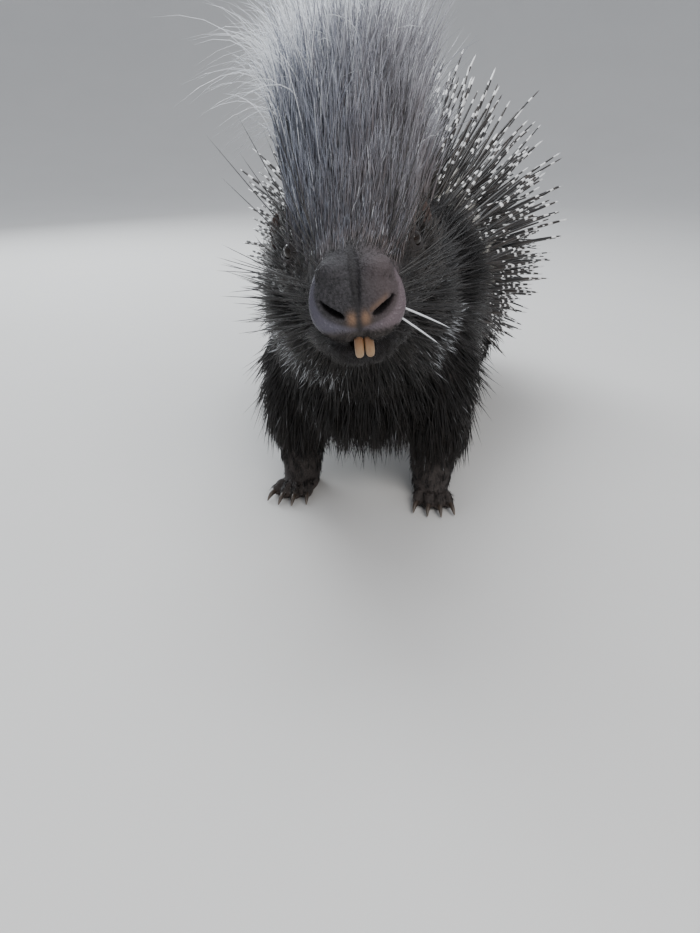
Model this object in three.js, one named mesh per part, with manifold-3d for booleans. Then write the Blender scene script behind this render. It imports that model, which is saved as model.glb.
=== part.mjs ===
import * as THREE from "three";
import { mergeVertices } from "three/addons/utils/BufferGeometryUtils.js";
import Module from "manifold-3d";

// A crested porcupine at life size, standing on four feet with its crest and quills raised.
// Millimetres, +Z up. It faces -Y, and its left side is at +X. The head turns to its left and
// leans to its right. The finished group is moved so that the origin is the bottom centre of
// the bounding box, at floor level.

const wasm = await Module();
wasm.setup();

// Sizes shared by the whole animal
const DEG = Math.PI / 180;
const GAP = 0.3; // between nodes that touch
const SINK = 7; // depth of a quill's or lock's root below the skin
const CLEARANCE = 0.5; // kept by a piece from the nodes that it doesn't grow from
const FLOOR = 0;
const FORWARD = new THREE.Vector3(0, -1, 0);
const BACKWARD = new THREE.Vector3(0, 1, 0);
const UP = new THREE.Vector3(0, 0, 1);
const LEFT = new THREE.Vector3(1, 0, 0);
const SIDES = [
  ["left", 1],
  ["right", -1],
];

// Torso sections: y, half-width, top, bottom
const TORSO = [
  [-236, 24, 212, 160],
  [-224, 60, 242, 128],
  [-190, 87, 268, 103],
  [-140, 103, 291, 89],
  [-60, 116, 311, 78],
  [40, 127, 323, 73],
  [130, 131, 321, 76],
  [210, 122, 299, 86],
  [265, 97, 259, 104],
  [300, 58, 214, 131],
  [312, 24, 186, 158],
];
const TORSO_RINGS = 16;
const TORSO_SIDES = 22;

// Neck sections: y, z, half-width, half-height above, half-height below
const NECK = [
  [-150, 200, 86, 80, 90],
  [-208, 232, 81, 73, 84],
  [-252, 258, 70, 64, 73],
  [-300, 283, 54, 50, 54],
];
const NECK_RINGS = 6;
const NECK_SIDES = 22;

// Head sections in the head's own frame: distance behind the nose tip, half-width, top, bottom
const HEAD_LENGTH = 165;
const HEAD = [
  [0, 14, 10, -10],
  [2, 22, 17, -17],
  [6, 28, 24, -23],
  [12, 31.5, 30, -28],
  [22, 33, 36, -32],
  [38, 35.5, 43, -36],
  [58, 41, 49, -41],
  [80, 48, 54, -47],
  [100, 53.5, 56, -51],
  [120, 57, 56, -54],
  [140, 57.5, 53, -54],
  [158, 52, 45, -49],
  [171, 36, 30, -35],
  [177, 16, 12, -16],
];
const HEAD_STATIONS = [0, 2, 6, 12, 20, 31, 44, 58, 73, 88, 103, 118, 133, 148, 161, 171, 177];
const HEAD_SIDES = 22;

// Lower jaw sections, in the same frame
const JAW = [
  [12, 8, -31, -38],
  [15, 16, -28, -43],
  [23, 22, -25, -48],
  [40, 28, -24, -51],
  [62, 34, -27, -54],
  [86, 37, -33, -57],
  [104, 30, -38, -54],
];
const JAW_STATIONS = [12, 15, 22, 36, 56, 82, 104];
const JAW_SIDES = 14;
const HEAD_PIVOT = new THREE.Vector3(0, -266, 290); // where the skull sits on the neck
const HEAD_YAW = 10 * DEG; // towards its left
const HEAD_PITCH = 5 * DEG; // nose down
const HEAD_ROLL = -6 * DEG; // crown towards its right

// Cuts between the nodes of the trunk: a point on each plane and its normal, pointing forwards
const HEAD_CUT = { point: new THREE.Vector3(0, -268, 280), normal: new THREE.Vector3(0, -0.88, 0.47) };
const NECK_CUT = { point: new THREE.Vector3(0, -205, 240), normal: new THREE.Vector3(0, -0.8, 0.6) };
const SHOULDER_CUT = { point: new THREE.Vector3(0, -72, 200), normal: new THREE.Vector3(0, -1, 0) };
for (const cut of [HEAD_CUT, NECK_CUT, SHOULDER_CUT]) cut.normal.normalize();

// Eyes, in the head's frame
const EYE_RADIUS = 7.5;
const EYE_BACK = 88; // behind the nose tip
const EYE_HEIGHT = 22;
const EYE_OUT = 45.5; // centre of the eyeball from the midline
const LID_RADIUS = 7.6;
const LID_THICKNESS = 2.3;

// Quills of the back: rows along y, number in a row, and reach down each side
const QUILLS = {
  from: -44,
  to: 290,
  step: 27.4,
  around: 15,
  reach: 97 * DEG,
  radius: 3,
  root: 0.75, // share of the radius at the skin
  belly: 0.42, // share of the length where a quill is thickest
  bow: 0.035, // share of the length by which it bows upwards
  topRise: 57, // degrees over the lie of the coat, on the back line
  flankRise: 44, // on the side, where the quills fan out
  rumpRise: 30, // on the side, at the rump
  sideLength: 0.48, // share of the length, lowest on the side
};
const TAIL_QUILLS = { rows: [332, 360, 382], most: 5, from: -10, to: 190, rise: 24, lengths: [44, 62] };

// Length of the quills by y
const QUILL_LENGTH = [
  [-60, 92],
  [0, 140],
  [80, 215],
  [150, 250],
  [220, 232],
  [290, 165],
];

// Crest: half-width and half-thickness of a lock, fan to the sides in degrees, and how its tips fall
const CREST = { width: 8.5, thickness: 3.4, fan: 5, fall: 0.42, droop: -0.12, spread: 0.03, curl: 0.3 };
const CREST_SHARES = [0.3, 0.62, 1];
const CREST_TAPER = [0.6, 1, 0.78, 0];
// Rows: distance behind the nose on the head, or y on the body. reach and lean are in degrees.
const CREST_ROWS = [
  { owner: "head", at: 40, count: 4, reach: 44, lean: 20, length: 28 },
  { owner: "head", at: 56, count: 5, reach: 48, lean: 12, length: 43 },
  { owner: "head", at: 72, count: 5, reach: 50, lean: 5, length: 61 },
  { owner: "head", at: 88, count: 6, reach: 50, lean: 1, length: 82 },
  { owner: "head", at: 104, count: 6, reach: 50, lean: 1, length: 105 },
  { owner: "head", at: 120, count: 6, reach: 50, lean: 3, length: 128 },
  { owner: "head", at: 136, count: 7, reach: 50, lean: 5, length: 150 },
  { owner: "head", at: 152, count: 7, reach: 48, lean: 8, length: 170 },
  { owner: "head", at: 170, count: 7, reach: 46, lean: 11, length: 186 },
  { owner: "neck", at: -235, count: 6, reach: 44, lean: 14, length: 206 },
  { owner: "neck", at: -214, count: 7, reach: 43, lean: 18, length: 214 },
  { owner: "neck", at: -192, count: 7, reach: 42, lean: 22, length: 216 },
  { owner: "neck", at: -171, count: 6, reach: 42, lean: 26, length: 214 },
  { owner: "shoulders", at: -150, count: 6, reach: 42, lean: 31, length: 208 },
  { owner: "shoulders", at: -130, count: 6, reach: 42, lean: 36, length: 198 },
  { owner: "shoulders", at: -110, count: 6, reach: 40, lean: 41, length: 182 },
  { owner: "shoulders", at: -90, count: 6, reach: 38, lean: 46, length: 162 },
];

// Coat locks: thickness, fall in radians per millimetre, and shares of length with heights over the skin
const LOCKS = { thickness: 4, fall: 0.0018, cheekWidth: 20 };
const LOCK_SHARES = [
  [0, 0],
  [0.36, 6],
  [0.72, 11],
  [1, 18],
];
const LOCK_TAPER = [0.6, 1, 0.72, 0];
// Rows: y, first and last angle in degrees round under the body from its right, count, length and
// width. A mirrored row has the same locks again on the left.
const COAT_ROWS = [
  { owner: "neck", at: -272, from: 196, to: 344, count: 6, length: 56, width: 26 },
  { owner: "neck", at: -242, from: 168, to: 372, count: 8, length: 62, width: 30 },
  { owner: "shoulders", at: -206, from: 150, to: 390, count: 11, length: 70, width: 31 },
  { owner: "shoulders", at: -168, from: 138, to: 402, count: 12, length: 68, width: 33 },
  { owner: "shoulders", at: -130, from: 136, to: 230, count: 5, length: 58, width: 34, mirrored: true },
  { owner: "back", at: -62, from: 168, to: 228, count: 4, length: 70, width: 32, mirrored: true },
  { owner: "back", at: -18, from: 190, to: 232, count: 3, length: 70, width: 33, mirrored: true },
  { owner: "back", at: 28, from: 190, to: 232, count: 3, length: 70, width: 33, mirrored: true },
  { owner: "back", at: 74, from: 192, to: 224, count: 2, length: 62, width: 33, mirrored: true },
];
// Locks of the cheeks: distance behind the nose, angle in degrees on the left side, length
const CHEEK_LOCKS = [
  [106, 4, 44],
  [98, -18, 50],
  [104, -42, 52],
  [98, -66, 50],
];

// A seeded generator, so that each build draws the same numbers
function randomFrom(seed) {
  let state = seed;
  return () => {
    state = (state + 0x6d2b79f5) | 0;
    let t = Math.imul(state ^ (state >>> 15), 1 | state);
    t = (t + Math.imul(t ^ (t >>> 7), 61 | t)) ^ t;
    return ((t ^ (t >>> 14)) >>> 0) / 4294967296;
  };
}

const mix = THREE.MathUtils.lerp;
const ramp = THREE.MathUtils.smoothstep;

// Rows of a table between its stations, as a smooth curve through them
function rowAt(table, at) {
  const last = table.length - 1;
  let i = 0;
  while (i < last - 1 && at > table[i + 1][0]) i++;
  const [before, from, to, after] = [-1, 0, 1, 2].map((k) => table[THREE.MathUtils.clamp(i + k, 0, last)]);
  const span = to[0] - from[0];
  const t = THREE.MathUtils.clamp((at - from[0]) / span, 0, 1);
  return from.map((value, k) => {
    const slopeFrom = ((to[k] - before[k]) / (to[0] - before[0])) * span;
    const slopeTo = ((after[k] - value) / (after[0] - from[0])) * span;
    const bend = 3 * (to[k] - value) - 2 * slopeFrom - slopeTo;
    const twist = 2 * (value - to[k]) + slopeFrom + slopeTo;
    return value + t * (slopeFrom + t * (bend + t * twist));
  });
}

// A closed solid from points and triangles, turned to face outwards
function solidOf(points, triangles) {
  let volume = 0;
  for (const [a, b, c] of triangles) volume += points[a].dot(points[b].clone().cross(points[c]));
  const faces = volume < 0 ? triangles.map(([a, b, c]) => [a, c, b]) : triangles;
  return new wasm.Manifold(
    new wasm.Mesh({
      numProp: 3,
      vertProperties: new Float32Array(points.flatMap((p) => p.toArray())),
      triVerts: new Uint32Array(faces.flat()),
    }),
  );
}

// A closed solid through rings of points. A ring of one point is a tip.
function loft(rings) {
  const points = rings.flat();
  const starts = rings.map((_, i) => rings.slice(0, i).reduce((sum, ring) => sum + ring.length, 0));
  const triangles = [];
  const last = rings.length - 1;
  const fan = (i, centre) => {
    const count = rings[i].length;
    for (let k = 0; k < count; k++) {
      const edge = [starts[i] + k, starts[i] + ((k + 1) % count)];
      triangles.push([centre, ...(i === 0 ? edge : edge.reverse())]);
    }
  };
  for (let i = 0; i < last; i++) {
    const [a, b] = [starts[i], starts[i + 1]];
    const count = rings[i].length;
    if (rings[i + 1].length === 1) {
      fan(i, b);
      continue;
    }
    for (let k = 0; k < count; k++) {
      const next = (k + 1) % count;
      triangles.push([a + next, a + k, b + k], [a + next, b + k, b + next]);
    }
  }
  for (const i of [0, last].filter((end) => rings[end].length > 1)) {
    points.push(rings[i].reduce((sum, p) => sum.add(p), new THREE.Vector3()).divideScalar(rings[i].length));
    fan(i, points.length - 1);
  }
  return solidOf(points, triangles);
}

// A ring round a centre, rounder than a box and fuller than an ellipse
function sectionRing(centre, side, up, halfWidth, above, below, count) {
  const fullness = 0.92;
  return Array.from({ length: count }, (_, k) => {
    const angle = (2 * Math.PI * k) / count;
    const across = Math.sign(Math.cos(angle)) * Math.abs(Math.cos(angle)) ** fullness * halfWidth;
    const rise = Math.sign(Math.sin(angle)) * Math.abs(Math.sin(angle)) ** fullness;
    return centre
      .clone()
      .addScaledVector(side, across)
      .addScaledVector(up, rise * (rise > 0 ? above : below));
  });
}

// A solid along points. sizes holds each point's half-width and half-thickness, and 0 makes a tip.
function sweep(points, sizes, sides, across) {
  const rings = points.map((p, i) => {
    if (sizes[i][0] === 0) return [p];
    const ahead = points[Math.min(i + 1, points.length - 1)];
    const along = ahead.clone().sub(points[Math.max(i - 1, 0)]).normalize();
    const wide = across.clone().addScaledVector(along, -across.dot(along)).normalize();
    const thick = along.clone().cross(wide);
    const turn = sides === 3 ? Math.PI / 2 : 0;
    return Array.from({ length: sides }, (_, k) => {
      const angle = turn + (2 * Math.PI * k) / sides;
      return p
        .clone()
        .addScaledVector(wide, Math.cos(angle) * sizes[i][0])
        .addScaledVector(thick, Math.sin(angle) * sizes[i][1]);
    });
  });
  return loft(rings);
}

// A three.js geometry as a solid
function solidOfGeometry(geometry, matrix) {
  const bare = geometry.clone().applyMatrix4(matrix);
  bare.deleteAttribute("normal");
  bare.deleteAttribute("uv");
  const merged = mergeVertices(bare, 1e-4);
  return new wasm.Manifold(
    new wasm.Mesh({
      numProp: 3,
      vertProperties: merged.getAttribute("position").array,
      triVerts: new Uint32Array(merged.index.array),
    }),
  );
}

// A ball stretched to three radii, turned and placed
function ellipsoid(radii, centre, turn, segments) {
  const place = new THREE.Matrix4().compose(centre, turn, new THREE.Vector3(...radii));
  return solidOfGeometry(new THREE.SphereGeometry(1, segments, Math.round(segments * 0.62)), place);
}

// The largest closed surface of a solid, which drops scraps and fills sealed hollows
function largestOf(solid) {
  return solid.decompose().reduce((best, part) => (part.volume() > best.volume() ? part : best));
}

function join(solids) {
  return wasm.Manifold.union(solids);
}

// The part of a solid in front of or behind a cut, less half of the gap
function inFront(solid, cut) {
  const offset = cut.normal.dot(cut.point) + GAP / 2;
  return solid.trimByPlane(cut.normal.toArray(), offset);
}

function behind(solid, cut) {
  const offset = cut.normal.dot(cut.point) - GAP / 2;
  return solid.trimByPlane(cut.normal.clone().negate().toArray(), -offset);
}

// Trunk: torso, neck and head as one surface

function torsoSolid(grow) {
  const first = TORSO[0][0];
  const last = TORSO[TORSO.length - 1][0];
  const rings = Array.from({ length: TORSO_RINGS }, (_, i) => {
    const share = i / (TORSO_RINGS - 1);
    const y = mix(first, last, share - 0.055 * Math.sin(2 * Math.PI * share)); // closer at the ends
    const [, halfWidth, top, bottom] = rowAt(TORSO, y);
    const middle = (top + bottom) / 2;
    const half = (top - bottom) / 2 + grow;
    const end = (i === 0 ? -grow : 0) + (i === TORSO_RINGS - 1 ? grow : 0);
    const centre = new THREE.Vector3(0, y + end, middle);
    return sectionRing(centre, LEFT, UP, halfWidth + grow, half, half, TORSO_SIDES);
  });
  return loft(rings);
}

function neckSolid() {
  const first = NECK[0][0];
  const last = NECK[NECK.length - 1][0];
  const table = NECK.map((row) => [-row[0], ...row.slice(1)]);
  const rings = Array.from({ length: NECK_RINGS }, (_, i) => {
    const y = mix(first, last, i / (NECK_RINGS - 1));
    const [, z, halfWidth, above, below] = rowAt(table, -y);
    const ahead = rowAt(table, Math.min(-y + 1, -last));
    const slope = Math.atan2(ahead[1] - z || 0.5, 1);
    const up = new THREE.Vector3(0, Math.sin(slope), Math.cos(slope));
    return sectionRing(new THREE.Vector3(0, y, z), LEFT, up, halfWidth, above, below, NECK_SIDES);
  });
  return loft(rings);
}

// The head's frame: origin at the pivot, nose towards its own -Y
const headFrame = new THREE.Matrix4().compose(
  HEAD_PIVOT,
  new THREE.Quaternion().setFromEuler(new THREE.Euler(HEAD_PITCH, HEAD_ROLL, HEAD_YAW, "ZXY")),
  new THREE.Vector3(1, 1, 1),
);
const headTurn = new THREE.Quaternion().setFromRotationMatrix(headFrame);

// A point of the head's frame, given from the nose tip backwards, in the animal's frame
function headPoint(across, back, up) {
  return new THREE.Vector3(across, back - HEAD_LENGTH, up).applyMatrix4(headFrame);
}

function headDirection(across, back, up) {
  return new THREE.Vector3(across, back, up).normalize().applyQuaternion(headTurn);
}

function headLoft(table, stations, sides, grow) {
  const first = stations[0];
  const last = stations[stations.length - 1];
  const side = headDirection(1, 0, 0);
  const up = headDirection(0, 0, 1);
  const rings = stations.map((back) => {
    const [, halfWidth, top, bottom] = rowAt(table, back);
    const half = (top - bottom) / 2 + grow;
    const end = (back === first ? -grow : 0) + (back === last ? grow : 0);
    const centre = headPoint(0, back + end, (top + bottom) / 2);
    return sectionRing(centre, side, up, halfWidth + grow, half, half, sides);
  });
  return loft(rings);
}

function headSolid(grow) {
  return headLoft(HEAD, HEAD_STATIONS, HEAD_SIDES, grow).add(headLoft(JAW, JAW_STATIONS, JAW_SIDES, grow));
}

// Face: nose rims, nostrils, lids, mouth and teeth. side is 1 on the animal's left and -1 on its right.

// The bare rim that curls from the outside of the nose down and in under the nostril
function noseRim(side) {
  const path = [
    [24, 18, 21],
    [28.5, 14.5, 9],
    [27, 9.5, -3],
    [20, 6.5, -13],
    [11, 5, -17.5],
    [2.5, 5, -19],
  ].map(([across, back, up]) => headPoint(side * across, back, up));
  const steps = 5;
  const points = new THREE.CatmullRomCurve3(path).getPoints(steps);
  const sizes = points.map((_, i) => {
    const size = mix(2.6, 5, Math.sin((Math.PI * (i + 0.6)) / (steps + 1.2)));
    return [size, size];
  });
  return sweep(points, sizes, 6, headDirection(0, 1, 0));
}

// A slanting slit, high outside and low inside, that deepens into the nose
function nostril(side) {
  const slant = new THREE.Quaternion().setFromAxisAngle(new THREE.Vector3(0, 1, 0), side * -38 * DEG);
  const splay = new THREE.Quaternion().setFromAxisAngle(new THREE.Vector3(0, 0, 1), side * 38 * DEG);
  const turn = headTurn.clone().multiply(splay).multiply(slant);
  return ellipsoid([12.5, 13, 4.2], headPoint(side * 17.5, 4, -3), turn, 9);
}

// The furrow down the middle of the nose pad, and the split in the lip under it
function noseFurrow() {
  const path = [
    [0, 26, 39],
    [0, 13, 32],
    [0, 4, 22],
    [0, -0.5, 8],
    [0, -0.5, -8],
    [0, 3, -23],
  ].map(([across, back, up]) => headPoint(across, back, up));
  const sizes = [1.2, 2, 2.4, 2.2, 1.9, 1.9].map((size) => [size, size]);
  return sweep(path, sizes, 4, headDirection(1, 0, 0));
}

// The small open mouth in which the upper teeth stand
function mouthHollow() {
  return ellipsoid([11, 12, 6], headPoint(0, 8, -27), headTurn, 8);
}

// The closed part of the mouth: a groove along each side of the muzzle
function mouthLine(side) {
  const path = [
    [6, 8, -27],
    [16, 13, -28],
    [22, 25, -28],
    [27, 42, -29],
    [32, 58, -32],
  ].map(([across, back, up]) => headPoint(side * across, back, up));
  const steps = 4;
  const points = new THREE.CatmullRomCurve3(path).getPoints(steps);
  const sizes = points.map((_, i) => [mix(4.2, 2.4, i / steps), mix(1.8, 1, i / steps)]);
  return sweep(points, sizes, 4, headDirection(side, 0, 0));
}

const eyeCentre = (side) => headPoint(side * EYE_OUT, EYE_BACK, EYE_HEIGHT);
const eyeLook = (side) => headDirection(side * 0.9, -0.38, 0.2);

function eyeball(side, grow) {
  const radius = EYE_RADIUS + grow;
  return ellipsoid([radius, radius, radius], eyeCentre(side), headTurn, 12);
}

// Upper and lower lid as one raised rim round the eyeball, pinched at its corners
function lids(side) {
  const look = eyeLook(side);
  const front = headDirection(0, -1, -0.12);
  const up = look.clone().cross(front).multiplyScalar(side).normalize();
  const along = up.clone().cross(look).normalize();
  const basis = new THREE.Matrix4().makeBasis(along, up, look);
  const middle = eyeCentre(side).addScaledVector(look, 2.6);
  const place = new THREE.Matrix4()
    .setPosition(middle)
    .multiply(basis)
    .multiply(new THREE.Matrix4().makeScale(1.22, 0.86, 1.15));
  return solidOfGeometry(new THREE.TorusGeometry(LID_RADIUS, LID_THICKNESS, 4, 11), place);
}

// One upper incisor, from inside the gum to its chisel edge
function incisor(side, grow) {
  const path = [
    [3.7, 11, -12],
    [3.7, 6.5, -20],
    [3.8, 5.2, -27],
    [3.9, 6.2, -34],
  ].map(([across, back, up]) => headPoint(side * across, back, up));
  const sizes = [
    [3.1, 2.4],
    [3.2, 2.4],
    [3.2, 2.1],
    [2.7, 1.0],
  ].map(([width, thickness]) => [width + grow, thickness + grow]);
  return sweep(path, sizes, 6, headDirection(1, 0, 0));
}

// Ears: a rounded cup that opens forwards and outwards
const EAR = {
  back: 133,
  height: 24,
  out: 55,
  tall: 21,
  wide: 17,
  deep: 10,
  wall: 0.84, // share of the ear that its cup takes
  tip: 20,
  lean: 38,
  turn: 42,
};

function earSolid(side) {
  const centre = headPoint(side * EAR.out, EAR.back, EAR.height);
  const lean = new THREE.Euler(-EAR.tip * DEG, side * EAR.lean * DEG, side * EAR.turn * DEG, "ZYX");
  const turn = headTurn.clone().multiply(new THREE.Quaternion().setFromEuler(lean));
  const outer = ellipsoid([EAR.wide, EAR.deep, EAR.tall], centre, turn, 10);
  const open = new THREE.Vector3(0, -EAR.deep * 0.62, 1).applyQuaternion(turn);
  const hollow = [EAR.wide * EAR.wall, EAR.deep * 0.95, EAR.tall * EAR.wall];
  return outer.subtract(ellipsoid(hollow, centre.clone().add(open), turn, 9));
}

// Legs: joints of each leg as across, y, z, half-width, half-thickness. Feet: a sole, toes and claws.

const LEGS = {
  fore: {
    joints: [
      [66, -150, 170, 38, 48],
      [76, -152, 116, 35, 42],
      [79, -150, 74, 31, 34],
      [75, -161, 34, 24, 26],
      [75, -166, 12, 21, 26],
    ],
    ankle: [75, -163],
    toes: 4,
    footLength: 62,
    footWidth: 40,
    footHeight: 34,
  },
  hind: {
    joints: [
      [72, 178, 186, 56, 80],
      [92, 168, 120, 47, 64],
      [99, 176, 78, 36, 44],
      [92, 196, 36, 24, 26],
      [92, 192, 12, 21, 27],
    ],
    ankle: [92, 186],
    toes: 5,
    footLength: 92,
    footWidth: 46,
    footHeight: 38,
  },
};
const LEG_STATIONS = [0, 0.6, 1.2, 1.8, 2.4, 3, 4];
const ANKLE_HEIGHT = 31; // level of the cut between a leg and its foot
const TOE_SPREAD = 30 * DEG;
const TOE_OUT = 7 * DEG; // the whole foot turns out
// Toe sections: distance from the root, level, half-width and half-height. The last is the flat at the claw.
const TOE = [
  [-7, 7, 5.6, 9],
  [5, 8, 6.4, 9],
  [15.5, 8.4, 4.4, 6],
];
const CLAW_START = TOE[TOE.length - 1][0];
const CLAW_LENGTH = 15;

function legSolid(leg, side) {
  const table = leg.joints.map((joint, k) => [k, ...joint]);
  const rows = LEG_STATIONS.map((at) => rowAt(table, at));
  const points = rows.map(([, across, y, z]) => new THREE.Vector3(side * across, y, z));
  const sizes = rows.map((row) => [row[4], row[5]]);
  return sweep(points, sizes, 11, LEFT);
}

// Each toe's root and direction, fanned across the front of the foot
function toesOf(leg, side) {
  const heading = side * TOE_OUT;
  const [ankleX, ankleY] = leg.ankle;
  const foot = new THREE.Vector3(side * ankleX, ankleY, 0);
  return Array.from({ length: leg.toes }, (_, i) => {
    const share = (i / (leg.toes - 1)) * 2 - 1;
    const angle = heading + share * TOE_SPREAD * 0.5;
    const direction = FORWARD.clone().applyAxisAngle(UP, angle);
    const reach = leg.footLength * (0.5 - 0.1 * share * share);
    const root = foot
      .clone()
      .addScaledVector(FORWARD.clone().applyAxisAngle(UP, heading), reach)
      .addScaledVector(LEFT, share * leg.footWidth * 0.36);
    return { root, direction };
  });
}

// A claw from the flat on its toe down to a point just above the floor
function clawSolid(toe) {
  const start = toe.root.clone().addScaledVector(toe.direction, CLAW_START + GAP * 1.5).setZ(8.4);
  const bow = start.clone().addScaledVector(toe.direction, CLAW_LENGTH * 0.45);
  const tip = start.clone().addScaledVector(toe.direction, CLAW_LENGTH).setZ(1.6);
  const sizes = [
    [2.6, 3],
    [2.2, 2.5],
    [0, 0],
  ];
  return sweep([start, bow, tip], sizes, 5, toe.direction.clone().cross(UP));
}

function toeSolid(toe) {
  const points = TOE.map(([reach, level]) => {
    return toe.root.clone().addScaledVector(toe.direction, reach).setZ(level);
  });
  const sizes = TOE.map((row) => [row[2], row[3]]);
  return sweep(points, sizes, 6, toe.direction.clone().cross(UP));
}

function footSolid(leg, side) {
  const heading = new THREE.Quaternion().setFromAxisAngle(UP, side * TOE_OUT);
  const [ankleX, ankleY] = leg.ankle;
  const middle = new THREE.Vector3(side * ankleX, ankleY - leg.footLength * 0.06, 8);
  const length = leg.footLength * 0.5;
  const sole = ellipsoid([leg.footWidth * 0.5, length, leg.footHeight * 0.62], middle, heading, 9);
  return join([sole, ...toesOf(leg, side).map(toeSolid)]);
}

// Tail: short, with its tip turned down
const TAIL = [
  [0, 285, 186, 34],
  [0, 322, 168, 30],
  [0, 356, 142, 24],
  [0, 382, 116, 15],
  [0, 396, 100, 6],
];

function tailSolid() {
  const steps = 6;
  const line = TAIL.map(([x, y, z]) => new THREE.Vector3(x, y, z));
  const points = new THREE.CatmullRomCurve3(line).getPoints(steps);
  const radii = TAIL.map((row, i) => [i, row[3]]);
  const sizes = points.map((_, i) => {
    const radius = rowAt(radii, (i / steps) * (TAIL.length - 1))[1];
    return [radius, radius * 0.92];
  });
  return sweep(points, sizes, 12, LEFT);
}

// The skin of the trunk, from which quills, bristles and locks grow

function geometryOf(solid) {
  const { numProp, numVert, vertProperties, triVerts } = solid.getMesh();
  const positions = new Float32Array(numVert * 3);
  for (let i = 0; i < numVert; i++) {
    positions.set(vertProperties.subarray(i * numProp, i * numProp + 3), i * 3);
  }
  const geometry = new THREE.BufferGeometry();
  geometry.setAttribute("position", new THREE.BufferAttribute(positions, 3));
  geometry.setIndex(new THREE.BufferAttribute(triVerts, 1));
  return geometry;
}

const trunk = join([torsoSolid(0), neckSolid(), headSolid(0)]);
const skinMesh = new THREE.Mesh(geometryOf(trunk), new THREE.MeshBasicMaterial({ side: THREE.DoubleSide }));
const skinRay = new THREE.Raycaster();

// The outermost skin along a ray from inside the body, with its outward normal
function skinAlong(origin, direction) {
  skinRay.set(origin, direction);
  const hit = skinRay.intersectObject(skinMesh).at(-1);
  const normal = hit.face.normal.clone();
  return { point: hit.point, normal: normal.dot(direction) < 0 ? normal.negate() : normal };
}

// The height of the body's axis at y, through the torso and up the neck
function axisHeight(y) {
  const [, , top, bottom] = rowAt(TORSO, Math.max(y, -150));
  const neck = rowAt(NECK.map((row) => [-row[0], ...row.slice(1)]), Math.max(-y, 150))[1];
  return mix((top + bottom) / 2, neck, ramp(-y, 120, 190));
}

// Skin of the torso and neck at y. The angle rises from the left side, so 90 degrees is the back line.
function bodySkin(y, angle) {
  const direction = new THREE.Vector3(Math.cos(angle), 0, Math.sin(angle));
  return skinAlong(new THREE.Vector3(0, y, axisHeight(y)), direction);
}

function headSkin(back, angle) {
  return skinAlong(headPoint(0, back, 0), headDirection(Math.cos(angle), 0, Math.sin(angle)));
}

// A direction that rises from the skin by an angle, over the way in which the coat lies
function risen(normal, lie, rise) {
  const flat = lie.clone().addScaledVector(normal, -lie.dot(normal)).normalize();
  return flat.multiplyScalar(Math.cos(rise)).addScaledVector(normal, Math.sin(rise));
}

// Pieces that grow from one node and stay clear of the others

const obstacles = [];

function addObstacle(owner, solid) {
  obstacles.push({ owner, solid, box: solid.boundingBox() });
}

const apart = (a, b) => [0, 1, 2].some((k) => a.max[k] < b.min[k] || b.max[k] < a.min[k]);

function isClear(owner, solid) {
  const box = solid.boundingBox();
  if (box.min[2] < FLOOR + CLEARANCE) return false;
  return obstacles.every(
    (other) => other.owner === owner || apart(box, other.box) || other.solid.intersect(solid).isEmpty(),
  );
}

// make(grow, attempt) builds a piece. Later attempts rise more and are shorter.
function grown(owner, make) {
  const attempt = [0, 1, 2, 3].find((k) => isClear(owner, make(CLEARANCE, k)));
  return attempt === undefined ? [] : [make(0, attempt)];
}

// A quill: tapered to both ends, thickest below its middle, and bowed a little upwards
function quillSolid(root, direction, length, radius, grow) {
  const start = root.clone().addScaledVector(direction, -SINK);
  const belly = root
    .clone()
    .addScaledVector(direction, length * QUILLS.belly)
    .addScaledVector(UP, length * QUILLS.bow);
  const tip = root.clone().addScaledVector(direction, length + grow * 2);
  const across = Math.abs(direction.z) > 0.9 ? LEFT : UP.clone().cross(direction).normalize();
  const sizes = [
    [radius * QUILLS.root + grow, radius * QUILLS.root + grow],
    [radius + grow, radius + grow],
    [0, 0],
  ];
  return sweep([start, belly, tip], sizes, 3, across);
}

// Quills of the back, in staggered rows. They are longest over the loins and shorter down the sides.
function backQuills() {
  const random = randomFrom(11);
  const pieces = [];
  const rows = Math.floor((QUILLS.to - QUILLS.from) / QUILLS.step) + 1;
  for (let row = 0; row < rows; row++) {
    const y = QUILLS.from + row * QUILLS.step;
    const count = QUILLS.around - (row % 2);
    for (let k = 0; k < count; k++) {
      const share = ((k + 0.5) / count) * 2 - 1; // -1 on the right, 0 on the back line, 1 on the left
      const angle = 90 * DEG - share * QUILLS.reach;
      const side = Math.abs(share);
      const shorter = mix(1, QUILLS.sideLength, side ** 1.2) * mix(0.86, 1.12, random());
      const length = rowAt(QUILL_LENGTH, y)[1] * shorter;
      const sideRise = mix(QUILLS.flankRise, QUILLS.rumpRise, ramp(y, 60, 220));
      const rise = (mix(QUILLS.topRise, sideRise, side) + (random() - 0.5) * 7) * DEG;
      const sway = new THREE.Vector3((random() - 0.5) * 0.11, 0, (random() - 0.5) * 0.07);
      const { point, normal } = bodySkin(y + (random() - 0.5) * 7, angle);
      const make = (grow, attempt) => {
        const direction = risen(normal, BACKWARD, rise + attempt * 8 * DEG).add(sway).normalize();
        return quillSolid(point, direction, length * 0.88 ** attempt, QUILLS.radius, grow);
      };
      pieces.push(...grown("back", make));
    }
  }
  return pieces;
}

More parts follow.
